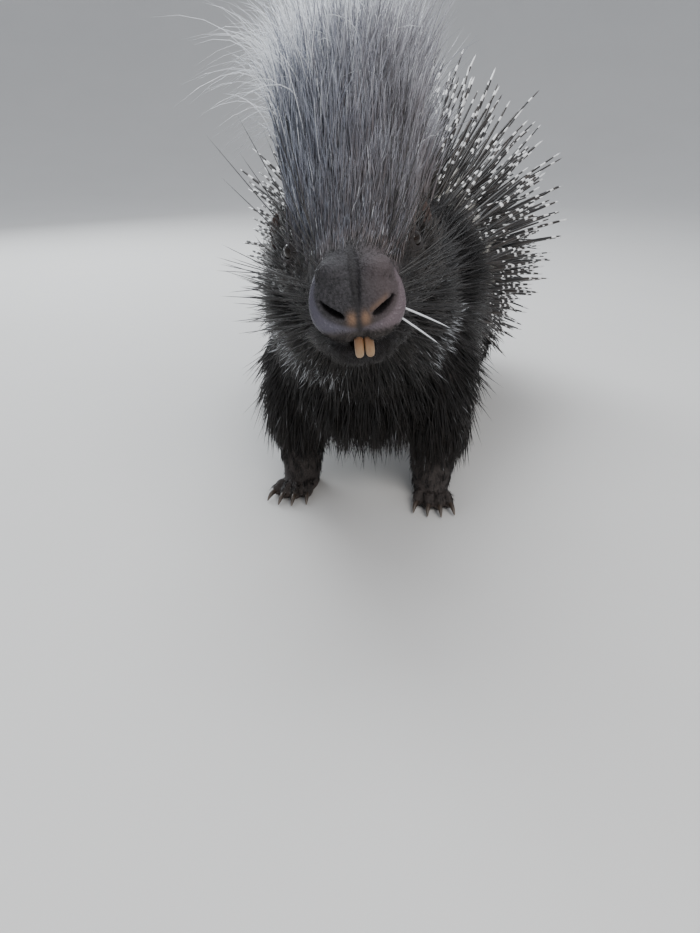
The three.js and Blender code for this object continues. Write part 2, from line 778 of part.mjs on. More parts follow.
// Short quills round the tail
function tailQuills() {
  const random = randomFrom(23);
  const pieces = [];
  for (const [row, y] of TAIL_QUILLS.rows.entries()) {
    const count = TAIL_QUILLS.most - row;
    for (let k = 0; k < count; k++) {
      const angle = mix(TAIL_QUILLS.from, TAIL_QUILLS.to, (k + 0.5) / count) * DEG;
      const [, , z, radius] = rowAt(TAIL.map(([x, along, ...rest]) => [along, x, ...rest]), y);
      const normal = new THREE.Vector3(Math.cos(angle), 0, Math.sin(angle));
      const point = new THREE.Vector3(0, y, z).addScaledVector(normal, radius * 0.86);
      const length = mix(...TAIL_QUILLS.lengths, random());
      const lie = new THREE.Vector3(0, 0.8, -0.6);
      const make = (grow, attempt) => {
        const direction = risen(normal, lie, (TAIL_QUILLS.rise + attempt * 8) * DEG);
        return quillSolid(point, direction, length, QUILLS.radius, grow);
      };
      pieces.push(...grown("tail", make));
    }
  }
  return pieces;
}

// A bristle lock of the crest: flat, tapered, and bending back towards its tip
function crestLock(root, direction, bend, length, twist, grow) {
  const across = LEFT.clone().applyAxisAngle(UP, twist);
  const points = [root.clone().addScaledVector(direction, -SINK)];
  let at = root.clone();
  let step = 0;
  for (const share of CREST_SHARES) {
    const heading = direction.clone().addScaledVector(bend, share).normalize();
    at = at.clone().addScaledVector(heading, length * (share - step));
    points.push(at);
    step = share;
  }
  points[points.length - 1].addScaledVector(direction, grow * 2);
  const sizes = CREST_TAPER.map((taper) =>
    taper ? [CREST.width * taper + grow, CREST.thickness * taper + grow] : [0, 0],
  );
  return sweep(points, sizes, 3, across);
}

// The crest, row by row from the brow to between the shoulders. Each row leans further back.
function crestLocks(owner) {
  const random = randomFrom({ head: 31, neck: 37, shoulders: 41 }[owner]);
  const pieces = [];
  for (const row of CREST_ROWS.filter((entry) => entry.owner === owner)) {
    for (let k = 0; k < row.count; k++) {
      const share = ((k + 0.5) / row.count) * 2 - 1; // 1 on the left
      const angle = 90 * DEG - (share + (random() - 0.5) * 0.12) * row.reach * DEG;
      const skin = owner === "head" ? headSkin : bodySkin;
      const { point } = skin(row.at + (random() - 0.5) * 4, angle);
      const lean = (row.lean + (random() - 0.5) * 5) * DEG;
      const tilt = (share * CREST.fan + (random() - 0.5) * 5) * DEG;
      const direction = new THREE.Vector3(Math.sin(tilt), Math.sin(lean), 1).normalize();
      const outward = CREST.spread * share - CREST.curl * ramp(-share, -0.6, 1);
      const bend = new THREE.Vector3(outward, CREST.fall, CREST.droop);
      const length = row.length * mix(1, 0.84, share * share) * mix(0.9, 1.08, random());
      const twist = (random() - 0.5) * 120 * DEG;
      const make = (grow, attempt) => {
        const softer = bend.clone().multiplyScalar(1 - attempt * 0.3);
        return crestLock(point, direction, softer, length * 0.9 ** attempt, twist, grow);
      };
      pieces.push(...grown(owner, make));
    }
  }
  return pieces;
}

// A coat lock: flat, wide and tapered, that lifts off the skin and lies back along it.
// path(distance) gives the skin at a distance from the lock's root.
function coatLock(path, length, width, lift, grow) {
  const points = LOCK_SHARES.map(([share, height], i) => {
    const { point, normal } = path(length * share);
    const rise = i === 0 ? -SINK * 0.7 : height * lift;
    return point.clone().addScaledVector(normal, rise);
  });
  const root = path(0);
  const along = points.at(-1).clone().sub(points[0]).normalize();
  const across = root.normal.clone().cross(along).normalize();
  points.at(-1).addScaledVector(along, grow * 2);
  const sizes = LOCK_TAPER.map((taper) =>
    taper ? [width * taper + grow, LOCKS.thickness * taper + grow] : [0, 0],
  );
  return sweep(points, sizes, 3, across);
}

// Rows of coat locks on the torso and neck. Each row gives its y, angles, count, length and width.
function coatLocks(owner) {
  const random = randomFrom({ back: 53, shoulders: 59, neck: 61 }[owner]);
  const pieces = [];
  const rows = COAT_ROWS.filter((entry) => entry.owner === owner);
  const across = (row) => ({ ...row, from: 540 - row.to, to: 540 - row.from });
  for (const row of [...rows, ...rows.filter((entry) => entry.mirrored).map(across)]) {
    for (let k = 0; k < row.count; k++) {
      const share = k / (row.count - 1);
      const jitter = (random() - 0.5) * 5;
      const start = (mix(row.from, row.to, share) + jitter) * DEG;
      const y = row.at + (random() - 0.5) * 10;
      const fall = Math.cos(start) * LOCKS.fall; // towards the belly on both flanks
      const path = (distance) => bodySkin(y + distance * 0.95, start - fall * distance);
      const length = row.length * mix(0.88, 1.12, random());
      const make = (grow, attempt) =>
        coatLock(path, length * 0.86 ** attempt, row.width / 2, 1 + attempt * 0.35, grow);
      pieces.push(...grown(owner, make));
    }
  }
  return pieces;
}

// The ruff: locks of the cheeks and jaw that sweep back and stand out round the face
function cheekLocks() {
  const random = randomFrom(67);
  const pieces = [];
  for (const [, side] of SIDES) {
    for (const [back, angle, length] of CHEEK_LOCKS) {
      const start = side > 0 ? angle : 180 - angle;
      const turned = (start + (random() - 0.5) * 5) * DEG;
      const path = (distance) => headSkin(back + distance * 0.9, turned);
      const make = (grow, attempt) =>
        coatLock(path, length * 0.84 ** attempt, LOCKS.cheekWidth / 2, 1 + attempt * 0.4, grow);
      pieces.push(...grown("head", make));
    }
  }
  return pieces;
}

// The animal, node by node

const SKIN = { color: 0x3a3234, roughness: 0.75, metalness: 0 };
const BRISTLE = { color: 0x241f1d, roughness: 0.8, metalness: 0 };
const QUILL = { color: 0x3b3531, roughness: 0.5, metalness: 0 };
const EYE = { color: 0x0b0908, roughness: 0.08, metalness: 0 };
const TOOTH = { color: 0xc98a4a, roughness: 0.35, metalness: 0 };
const CLAW = { color: 0x2c2521, roughness: 0.45, metalness: 0 };

const porcupine = new THREE.Group();

function addNode(name, solid, finish) {
  const geometry = geometryOf(solid);
  geometry.computeVertexNormals();
  const mesh = new THREE.Mesh(geometry, new THREE.MeshStandardMaterial(finish));
  mesh.name = name;
  porcupine.add(mesh);
  addObstacle(name, solid);
}

const headCore = inFront(trunk, HEAD_CUT);
const neckCore = inFront(behind(trunk, HEAD_CUT), NECK_CUT);
const torso = behind(trunk, NECK_CUT);
const shouldersCore = inFront(torso, SHOULDER_CUT);
const backCore = behind(torso, SHOULDER_CUT);

// Ears, eyes and teeth
for (const [name, side] of SIDES) {
  addNode(`eye_${name}`, eyeball(side, 0), EYE);
  addNode(`ear_${name}`, largestOf(earSolid(side).subtract(headSolid(GAP))), SKIN);
  addNode(`incisor_${name}`, incisor(side, 0), TOOTH);
}

// Legs, feet and claws
for (const [kind, leg] of Object.entries(LEGS)) {
  for (const [name, side] of SIDES) {
    const limb = legSolid(leg, side).add(footSolid(leg, side)).subtract(torsoSolid(GAP));
    const upper = limb.trimByPlane([0, 0, 1], ANKLE_HEIGHT + GAP / 2);
    const lower = limb.trimByPlane([0, 0, -1], -ANKLE_HEIGHT + GAP / 2).trimByPlane([0, 0, 1], FLOOR);
    addNode(`${kind}leg_${name}`, largestOf(upper), BRISTLE);
    addNode(`${kind}foot_${name}`, largestOf(lower), SKIN);
    toesOf(leg, side).forEach((toe, i) => addNode(`${kind}claw_${name}_${i + 1}`, clawSolid(toe), CLAW));
  }
}

// The trunk's nodes, each with its coat, from the tail forwards
const cores = { head: headCore, neck: neckCore, shoulders: shouldersCore, back: backCore };
for (const [owner, core] of Object.entries(cores)) addObstacle(owner, core);
const tailCore = tailSolid().subtract(torsoSolid(GAP));
addNode("tail", largestOf(join([tailCore, ...tailQuills()])), QUILL);
addNode("back", largestOf(join([backCore, ...backQuills(), ...coatLocks("back")])), QUILL);
for (const owner of ["shoulders", "neck"]) {
  addNode(owner, largestOf(join([cores[owner], ...crestLocks(owner), ...coatLocks(owner)])), BRISTLE);
}

// Head and face
const faceAdded = [headCore, ...crestLocks("head"), ...cheekLocks()];
const faceCut = [noseFurrow(), mouthHollow()];
for (const [, side] of SIDES) {
  faceAdded.push(noseRim(side), lids(side));
  faceCut.push(nostril(side), mouthLine(side), eyeball(side, GAP), incisor(side, GAP));
}
addNode("head", largestOf(join(faceAdded).subtract(join(faceCut))), SKIN);

// The origin goes to the bottom centre of the bounding box
const box = new THREE.Box3().setFromObject(porcupine);
porcupine.position.set(-(box.min.x + box.max.x) / 2, -(box.min.y + box.max.y) / 2, -box.min.z);

export default porcupine;
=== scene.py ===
"""A crested porcupine at life size, standing with its crest raised and its quills fanned.

One skin is lofted from the sizes of the body, and its quills, bristles and hair grow from that skin.
Sizes are in millimetres in the body's own frame, +Z up, nose towards -Y and left side at +X. The
last step of each mesh moves it into the row's frame, in metres.
"""

import math

import bpy
import numpy as np
from mathutils import Matrix, Vector


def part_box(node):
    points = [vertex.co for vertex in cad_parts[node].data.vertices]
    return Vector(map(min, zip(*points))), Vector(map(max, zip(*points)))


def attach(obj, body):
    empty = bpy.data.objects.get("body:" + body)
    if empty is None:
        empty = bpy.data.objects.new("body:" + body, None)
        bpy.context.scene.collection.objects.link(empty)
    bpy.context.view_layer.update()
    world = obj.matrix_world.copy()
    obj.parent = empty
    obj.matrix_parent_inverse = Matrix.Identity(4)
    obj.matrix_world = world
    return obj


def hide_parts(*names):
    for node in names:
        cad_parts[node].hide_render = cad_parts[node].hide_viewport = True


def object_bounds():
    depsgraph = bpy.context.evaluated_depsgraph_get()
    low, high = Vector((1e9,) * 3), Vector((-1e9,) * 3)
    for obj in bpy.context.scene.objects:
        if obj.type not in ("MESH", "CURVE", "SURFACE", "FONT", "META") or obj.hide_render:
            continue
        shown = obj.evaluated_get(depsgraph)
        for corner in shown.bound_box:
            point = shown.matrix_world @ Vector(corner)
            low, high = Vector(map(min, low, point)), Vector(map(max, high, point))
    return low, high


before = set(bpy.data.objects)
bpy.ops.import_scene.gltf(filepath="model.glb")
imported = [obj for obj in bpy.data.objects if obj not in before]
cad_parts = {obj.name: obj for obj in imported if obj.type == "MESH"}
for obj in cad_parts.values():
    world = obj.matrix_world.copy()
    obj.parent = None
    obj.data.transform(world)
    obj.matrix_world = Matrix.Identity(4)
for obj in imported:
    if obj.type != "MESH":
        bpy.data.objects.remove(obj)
CAD_LOW, CAD_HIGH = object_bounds()

# Body sizes in millimetres

# Torso: y, half-width, top, bottom
TORSO = [
    (-236, 24, 212, 160), (-224, 60, 242, 128), (-190, 87, 268, 103), (-140, 103, 291, 89),
    (-60, 116, 311, 78), (40, 127, 323, 73), (130, 131, 321, 76), (210, 122, 299, 86),
    (265, 97, 259, 104), (300, 58, 214, 131), (312, 24, 186, 158),
]
# Neck: distance forwards, z, half-width, half-height above, half-height below
NECK = [(150, 200, 86, 80, 90), (208, 232, 81, 73, 84), (252, 258, 70, 64, 73), (300, 283, 54, 50, 54)]
# Head: distance behind the nose tip, half-width, top, bottom
HEAD_LENGTH = 165
HEAD = [
    (0, 14, 10, -10), (2, 22, 17, -17), (6, 28, 24, -23), (12, 31.5, 30, -28), (22, 33, 36, -32),
    (38, 35.5, 43, -36), (58, 41, 49, -41), (80, 48, 54, -47), (100, 53.5, 56, -51),
    (120, 57, 56, -54), (140, 57.5, 53, -54), (158, 52, 45, -49), (171, 36, 30, -35),
    (177, 16, 12, -16),
]
JAW = [
    (12, 8, -31, -38), (15, 16, -28, -43), (23, 22, -25, -48), (40, 28, -24, -51), (62, 34, -27, -54),
    (86, 37, -33, -57), (104, 30, -38, -54),
]
HEAD_PIVOT = np.array([0.0, -266.0, 290.0])
HEAD_YAW, HEAD_PITCH, HEAD_ROLL = 10, 5, -6  # degrees: to its left, nose down, crown to its right
HEAD_CUT = np.array([0.0, -268.0, 280.0])
HEAD_CUT_NORMAL = np.array([0.0, -0.882, 0.471])
FULLNESS = 0.92  # of a section, between an ellipse's 1 and a box's 0

EYE_RADIUS, EYE_BACK, EYE_HEIGHT, EYE_OUT = 7.5, 88, 22, 45.5
LID_REACH = 9.0  # of the lids' middle from the eye's centre
EYE_OPEN = {"corner": 70, "upper": 50, "lower": 53}  # degrees from the eye's look to its lids
LID_HEIGHT, LID_THICKNESS, UPPER_MORE = 2.4, 1.9, 0.4
LID_STEPS, LID_SIDES = 40, 12
EAR = {
    "back": 133, "height": 24, "out": 55, "tall": 21, "wide": 17, "deep": 10, "tip": 20, "lean": 38,
    "turn": 42,
}

# Legs: joints as across, y, z, half-width, half-thickness
LEGS = {
    "fore": {
        "joints": [
            (66, -150, 170, 38, 48), (76, -152, 116, 35, 42), (79, -150, 74, 31, 34),
            (75, -161, 34, 24, 26), (75, -166, 12, 21, 26),
        ],
        "ankle": (75, -163), "toes": 4, "length": 62, "width": 40, "height": 34,
    },
    "hind": {
        "joints": [
            (72, 178, 186, 56, 80), (92, 168, 120, 47, 64), (99, 176, 78, 36, 44),
            (92, 196, 36, 24, 26), (92, 192, 12, 21, 27),
        ],
        "ankle": (92, 186), "toes": 5, "length": 92, "width": 46, "height": 38,
    },
}
TOE_SPREAD, TOE_OUT = 30, 7  # degrees
TOE = [(-7, 7, 5.6, 9), (5, 8, 6.4, 9), (15.5, 8.4, 4.4, 6)]  # reach, level, half-width, half-height
CLAW_START = 15.9
# Claw: reach, level, half-width, half-height
CLAW = [
    (-3.0, 8.4, 2.4, 2.8), (1.5, 8.7, 2.8, 3.2), (6.5, 8.0, 2.5, 2.8), (11.0, 5.6, 1.7, 1.9),
    (14.2, 2.9, 0.8, 0.9), (15.0, 1.9, 0.15, 0.2),
]
CLAW_STEPS, CLAW_SIDES = 18, 14
TAIL = [(0, 285, 186, 34), (0, 322, 168, 30), (0, 356, 142, 24), (0, 382, 116, 15), (0, 396, 100, 6)]

# Length of the long quills by y
QUILL_LENGTH = [(-60, 92), (0, 140), (80, 215), (150, 250), (220, 232), (290, 165)]
QUILL_REACH = 97  # degrees down each side
QUILL_RISE = {"top": 53, "flank": 44, "rump": 30}  # degrees over the lie of the coat
# Kinds of quills: how many at most, the gap between their roots, and their radii
LONG_QUILLS = {"count": 900, "gap": 11.2, "radii": (1.5, 2.4)}
SIDE_QUILLS = {"count": 1050, "gap": 9.2, "radii": (1.0, 1.7)}
TAIL_QUILLS = {"count": 170, "gap": 5.0, "radii": (1.2, 2.4), "lengths": (30, 64)}
# Crest on the head: distance behind the nose tip, length, lean back and reach to each side in degrees
HEAD_CREST = [
    (26, 11, 58, 50), (40, 25, 40, 52), (56, 42, 24, 54), (72, 60, 12, 55), (88, 82, 5, 54),
    (104, 105, 3, 53), (120, 128, 4, 52), (136, 150, 6, 52), (152, 170, 8, 50), (178, 188, 11, 48),
]
# Crest on the neck: y, length, lean back and reach to each side
NECK_CREST = [
    (-300, 188, 11, 47), (-235, 206, 14, 42), (-214, 214, 18, 40), (-192, 217, 22, 39),
    (-171, 214, 26, 38), (-150, 208, 31, 38), (-130, 198, 36, 38), (-110, 182, 41, 38),
    (-90, 162, 46, 37), (-70, 136, 52, 35),
]
CREST_FRONT_TO, CREST_MIDDLE_TO = -280, -178  # y at which one piece of the crest ends
CREST_LESS_LEFT = 11  # degrees by which the crest reaches less far down on its left
CREST_LATE, CURL_LATE = 3, 4  # how late the crest's bristles and its loose curls bend

SIDES = (("left", 1), ("right", -1))
UP = np.array([0.0, 0.0, 1.0])
LEFT = np.array([1.0, 0.0, 0.0])


# Small mathematics


def unit(v):
    return v / np.maximum(np.linalg.norm(v, axis=-1, keepdims=True), 1e-9)


def ramp(x, low, high):
    """0 below low and 1 above high, smooth between. low may be the larger."""
    t = np.clip((np.asarray(x, float) - low) / (high - low), 0, 1)
    return t * t * (3 - 2 * t)


def turn(axis, degrees):
    return np.array(Matrix.Rotation(math.radians(degrees), 3, axis))


def row_at(table, at):
    """A table's row between its stations, as a smooth curve through them."""
    table = np.asarray(table, float)
    i = int(np.clip(np.searchsorted(table[:, 0], at, side="left") - 1, 0, len(table) - 2))
    before, start, end, after = table[np.clip([i - 1, i, i + 1, i + 2], 0, len(table) - 1)]
    span = end[0] - start[0]
    t = np.clip((at - start[0]) / span, 0, 1)
    slope_start = (end - before) / (end[0] - before[0]) * span
    slope_end = (after - start) / (after[0] - start[0]) * span
    bend = 3 * (end - start) - 2 * slope_start - slope_end
    twist = 2 * (start - end) + slope_start + slope_end
    return start + t * (slope_start + t * (bend + t * twist))


def column(table, at, k):
    """One column of a table, read in straight lines at many stations."""
    table = np.asarray(table, float)
    return np.interp(at, table[:, 0], table[:, k])


def spline(points, count):
    """Rows along a smooth curve through the given ones."""
    points = np.asarray(points, float)
    table = np.column_stack([np.arange(len(points)), points])
    return np.array([row_at(table, at)[1:] for at in np.linspace(0, len(points) - 1, count)])


def around(count):
    return np.arange(count) * 2 * np.pi / count


# The head's own frame: across, distance behind the nose tip, up

HEAD_TURN = turn("Z", HEAD_YAW) @ turn("X", HEAD_PITCH) @ turn("Y", HEAD_ROLL)


def head_points(rows):
    rows = np.asarray(rows, float)
    return HEAD_PIVOT + (rows - [0, HEAD_LENGTH, 0]) @ HEAD_TURN.T


def head_way(across, back, up):
    return unit(HEAD_TURN @ np.array([across, back, up], float))


def head_places(points):
    return (points - HEAD_PIVOT) @ HEAD_TURN + [0, HEAD_LENGTH, 0]


# Closed shapes as (points, faces)


def between(i, j, count):
    """The faces that join ring i of a shape to ring j."""
    corners = [(k, (k + 1) % count) for k in range(count)]
    return [(i * count + k, i * count + n, j * count + n, j * count + k) for k, n in corners]


def loft(rings):
    count = len(rings[0])
    points = np.vstack([*rings, rings[0].mean(0)[None], rings[-1].mean(0)[None]])
    faces = []
    last = (len(rings) - 1) * count
    low = len(points) - 2
    for k in range(count):
        n = (k + 1) % count
        for base in range(0, last, count):
            faces.append((base + k, base + n, base + count + n, base + count + k))
        faces.append((low, n, k))
        faces.append((low + 1, last + k, last + n))
    return points, faces


def section(centre, side, up, half_width, above, below, count=64):
    angle = around(count)
    across = np.sign(np.cos(angle)) * np.abs(np.cos(angle)) ** FULLNESS * half_width
    rise = np.sign(np.sin(angle)) * np.abs(np.sin(angle)) ** FULLNESS
    rise = np.where(rise > 0, rise * above, rise * below)
    return centre + across[:, None] * side + rise[:, None] * up


def tube(points, sizes, across, count=20):
    """A closed tube. sizes holds each point's half-width along across, and half-thickness."""
    along = unit(np.gradient(points, axis=0))
    wide = unit(across - (along @ across)[:, None] * along)
    thick = np.cross(along, wide)
    angle = around(count)
    rings = [
        p + np.cos(angle)[:, None] * w * size[0] + np.sin(angle)[:, None] * t * size[1]
        for p, w, t, size in zip(points, wide, thick, sizes)
    ]
    return loft(rings)


def ball(radii, centre, turned=np.eye(3), count=32):
    angle = around(count)
    rings = []
    for tilt in np.linspace(0.04, np.pi - 0.04, count // 2):
        circle = np.column_stack(
            [np.cos(angle) * np.sin(tilt), np.sin(angle) * np.sin(tilt), np.full(count, np.cos(tilt))]
        )
        rings.append(centre + (circle * radii) @ turned.T)
    return loft(rings)


def swept(rows, across, count=28, sides=20, mirror=1):
    """A tube through rows of the head's frame: across, back, up, half-width, half-thickness."""
    rows = spline(rows, count)
    rows[:, 0] *= mirror
    return tube(head_points(rows[:, :3]), rows[:, 3:5], across, sides)


# Meshes


def linked(name, data):
    made = bpy.data.objects.new(name, data)
    bpy.context.scene.collection.objects.link(made)
    return made


def object_of(name, points, faces):
    mesh = bpy.data.meshes.new(name)
    mesh.from_pydata(np.asarray(points, float).tolist(), [], [tuple(f) for f in faces])
    mesh.update()
    return linked(name, mesh)


def fetched(items, key, kind=np.float32, width=3):
    found = np.empty(len(items) * width, kind)
    items.foreach_get(key, found)
    return found.reshape(-1, width)


def set_points(mesh, points):
    mesh.vertices.foreach_set("co", points.astype(np.float32).ravel())


def finished(made, paint):
    """A piece of the one body, smooth, with its paint and slot."""
    made.data.polygons.foreach_set("use_smooth", np.ones(len(made.data.polygons), bool))
    made.data.materials.append(paint)
    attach(made, "root")


def merged(parts):
    points, faces, start = [], [], 0
    for part_points, part_faces in parts:
        points.append(part_points)
        faces.extend(tuple(int(k) + start for k in face) for face in part_faces)
        start += len(part_points)
    return np.vstack(points), faces


def applied(made):
    """The object with its modifiers applied."""
    graph = bpy.context.evaluated_depsgraph_get()
    mesh = bpy.data.meshes.new_from_object(made.evaluated_get(graph))
    made.modifiers.clear()
    made.data = mesh
    return made


def fused(name, parts, voxel, rounds):
    """Closed shapes made into one by a voxel remesh, then smoothed."""
    made = object_of(name, *merged(parts))
    return remeshed(made, voxel, rounds)


def remeshed(made, voxel, rounds):
    remesh = made.modifiers.new("remesh", "REMESH")
    remesh.mode = "VOXEL"
    remesh.voxel_size = voxel
    smooth = made.modifiers.new("smooth", "SMOOTH")
    smooth.factor = 0.5
    smooth.iterations = rounds
    return applied(made)


def combined(made, other, operation):
    """A boolean of two closed objects. The other is used up."""
    boolean = made.modifiers.new(operation, "BOOLEAN")
    boolean.operation = operation
    boolean.solver = "MANIFOLD"
    boolean.object = other
    applied(made)
    bpy.data.objects.remove(other)
    return made


# The eye shows where the solids' frame lies in the row's frame
EYE_CENTRES = {side: head_points([(side * EYE_OUT, EYE_BACK, EYE_HEIGHT)])[0] for _, side in SIDES}
eye_low, eye_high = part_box("eye_left")
SHIFT = np.array((eye_low + eye_high) / 2) * 1000 - EYE_CENTRES[1]
SHIFT[2] = 0  # both frames stand on the floor


def in_row_frame(points):
    return (points + SHIFT) / 1000


# Skin


def torso_parts():
    rows = [row_at(TORSO, y) for y in np.linspace(TORSO[0][0], TORSO[-1][0], 70)]
    inset = 2
    rings = [
        section(
            np.array([0, y, (top + bottom) / 2]), LEFT, UP, half - inset, (top - bottom) / 2 - inset,
            (top - bottom) / 2 - inset,
        )
        for y, half, top, bottom in rows
    ]
    neck = []
    for ahead in np.linspace(NECK[0][0], NECK[-1][0], 24):
        _, z, half, above, below = row_at(NECK, ahead)
        slope = math.atan2(row_at(NECK, min(ahead + 1, NECK[-1][0]))[1] - z or 0.5, 1)
        up = np.array([0, math.sin(slope), math.cos(slope)])
        neck.append(section(np.array([0, -ahead, z]), LEFT, up, half - inset, above - inset, below - inset))
    return [loft(rings), loft(neck)]


def head_loft(table, count):
    side, up = head_way(1, 0, 0), head_way(0, 0, 1)
    stations = table[0][0] + (table[-1][0] - table[0][0]) * np.linspace(0, 1, count) ** 1.3
    rings = []
    for back in stations:
        _, half, top, bottom = row_at(table, back)
        centre = head_points([(0, back, (top + bottom) / 2)])[0]
        rings.append(section(centre, side, up, half, (top - bottom) / 2, (top - bottom) / 2))
    return loft(rings)


# Pads over the nostrils and the hollow of the mouth: across, back and up, and radii
NOSE_PAD, NOSE_PAD_RADII = (14, 17, 22.5), (13.5, 13, 11)
MOUTH, MOUTH_RADII = (0, 8, -27), (10.5, 12, 5.6)
EYE_GAP = 0.25  # between the eyeball and the head's hollow for it
# Nose wing: across, back, up, half-sizes, from the outside of the nose down and in under the nostril
NOSE_WING = [
    (24.5, 20, 24, 2.0, 2.0), (29.5, 15.5, 12, 3.0, 3.2), (29.5, 10.5, 0, 4.4, 4.8),
    (24.5, 8.0, -9, 6.2, 6.6), (15.0, 7.0, -15, 7.6, 7.8), (6.0, 7.0, -17, 7.2, 7.4),
]
# Nostril slit: across, back, up, half-depth, half-width
NOSTRIL = [
    (26.0, 11.0, 10.5, 4, 0.8), (23.5, 5.5, 5.0, 8, 1.9), (19.0, 2.0, 0.5, 12, 3.0),
    (14.0, 0.6, -3.0, 12, 2.8), (9.8, 0.6, -5.5, 6, 1.1),
]
# The furrow down the pad, and under it the split of the lip
FURROW = [
    (0, 32, 42, 2.0, 2.0), (0, 22, 38.5, 3.6, 3.2), (0, 13, 32.5, 4.4, 3.8), (0, 6, 25, 4.4, 3.8),
    (0, 2, 15.5, 3.4, 3.2), (0, -0.8, 5, 2.0, 2.2), (0, -1.6, -5, 1.1, 1.8), (0, -1.8, -12, 1.2, 2.4),
    (0, -1.0, -20, 1.5, 3.0), (0, 2.5, -27, 1.6, 3.0),
]
MOUTH_LINE = [
    (5, 7, -27, 5.0, 2.0), (15, 12, -28, 4.0, 1.3), (22, 25, -28, 3.6, 1.1), (27, 40, -29, 3.2, 1.0),
    (31, 52, -31, 2.4, 0.8),
]


def eye_frame(side):
    """Along the lids, up and outwards, as the columns of a matrix."""
    look = head_way(side * 0.9, -0.38, 0.2)
    up = unit(np.cross(look, head_way(0, -1, -0.12)) * side)
    return np.column_stack([np.cross(up, look), up, look])


def lid_parts(side):
    """Upper and lower lid over the eyeball, pinched at the corners, and a soft brow over them."""
    basis = eye_frame(side)
    rings = []
    turned = around(LID_SIDES)
    for a in np.linspace(0, 2 * np.pi, LID_STEPS, endpoint=False):
        upper = max(math.sin(a), 0)
        middle = EYE_OPEN["upper" if upper else "lower"]
        open_to = math.radians(EYE_OPEN["corner"] * math.cos(a) ** 2 + middle * math.sin(a) ** 2)
        outwards = np.array([math.cos(a), math.sin(a), 0.0])
        on_ball = outwards * math.sin(open_to) + np.array([0.0, 0.0, math.cos(open_to)])
        off_ball = np.cross(on_ball, np.cross(outwards, [0.0, 0.0, 1.0]))
        circle = np.outer(np.cos(turned), off_ball) * LID_HEIGHT
        circle = circle + np.outer(np.sin(turned), on_ball) * (LID_THICKNESS + UPPER_MORE * upper)
        rings.append(EYE_CENTRES[side] + (on_ball * LID_REACH + circle) @ basis.T)
    faces = [face for i in range(LID_STEPS) for face in between(i, (i + 1) % LID_STEPS, LID_SIDES)]
    brow = ball((12.5, 6.5, 5), EYE_CENTRES[side] + basis @ [1, 8.5, -1.5], basis)
    return [(np.vstack(rings), faces), brow]


def ear_turn(side):
    lean = turn("Z", side * EAR["turn"]) @ turn("Y", side * EAR["lean"]) @ turn("X", -EAR["tip"])
    return HEAD_TURN @ lean


def ear_parts(side):
    """The outside of the ear, the cup that is cut from it, and a fold for a cleft, which the skin does not
    use.
    """
    turned = ear_turn(side)
    centre = head_points([(side * EAR["out"], EAR["back"], EAR["height"])])[0]
    outer = ball((EAR["wide"], EAR["deep"], EAR["tall"]), centre, turned)
    inner = (EAR["wide"] - 2.4, EAR["deep"] * 0.98, EAR["tall"] - 2.4)
    hollow = ball(inner, centre + turned @ [0, -EAR["deep"] * 0.6, 0.6], turned)
    fold = ball((2.4, 3.2, 9), centre + turned @ [-side * 5, 2.5, -6], turned)
    return outer, hollow, fold


def toe_places(leg, side):
    """Each toe's root and direction, fanned across the front of the foot."""
    heading = side * TOE_OUT
    foot = np.array([side * leg["ankle"][0], leg["ankle"][1], 0.0])
    places = []
    for i in range(leg["toes"]):
        share = i / (leg["toes"] - 1) * 2 - 1
        forwards = turn("Z", heading) @ [0, -1, 0]
        reach = leg["length"] * (0.5 - 0.1 * share * share)
        root = foot + forwards * reach + LEFT * share * leg["width"] * 0.36
        places.append((root, turn("Z", heading + share * TOE_SPREAD * 0.5) @ [0, -1, 0]))
    return places


def leg_table(leg, side):
    joints = np.array(leg["joints"], float)
    joints[:, 0] *= side
    return joints


def leg_part(leg, side):
    """The leg down to inside its foot."""
    rows = spline(leg_table(leg, side), 40)
    rows = rows[rows[:, 2] > 40]
    return tube(rows[:, :3], rows[:, 3:5] - 1.5, LEFT, 40)


def foot_parts(leg, side):
    """Ankle, sole, heel, toes with their knuckles, and toe pads."""
    rows = spline(leg_table(leg, side), 60)
    rows = rows[rows[:, 2] < 62]
    slim = (1 - 0.24 * ramp(rows[:, 2], 42, 62))[:, None]
    parts = [tube(rows[:, :3], (rows[:, 3:5] - 1) * slim, LEFT, 36)]
    turned = turn("Z", side * TOE_OUT)
    middle = np.array([side * leg["ankle"][0], leg["ankle"][1] - leg["length"] * 0.06, 8.0])
    parts.append(ball((leg["width"] * 0.49, leg["length"] * 0.49, leg["height"] * 0.6), middle, turned))
    for root, way in toe_places(leg, side):
        across = np.cross(way, UP)
        shape = spline([(-16, 9, 6, 9), *TOE, (16.6, 8.2, 2.6, 4)], 16)
        line = root + shape[:, :1] * way + shape[:, 1:2] * UP
        parts.append(tube(line, shape[:, 2:4], across, 16))
        parts.append(ball((5.2, 6.2, 4.4), root + way * 4 + UP * 13.2, np.column_stack([across, way, UP])))
        parts.append(ball((4.8, 6.5, 4.2), root + way * 7.5 + UP * 4.4, np.column_stack([across, way, UP])))
    return parts


def tail_part():
    rows = spline(TAIL, 24)
    return tube(rows[:, :3], rows[:, 3:4] * [0.96, 0.9], LEFT, 32)


HEAD_VOXEL, CUT_VOXEL, BODY_VOXEL, FOOT_VOXEL = 1.25, 0.8, 3.8, 1.9


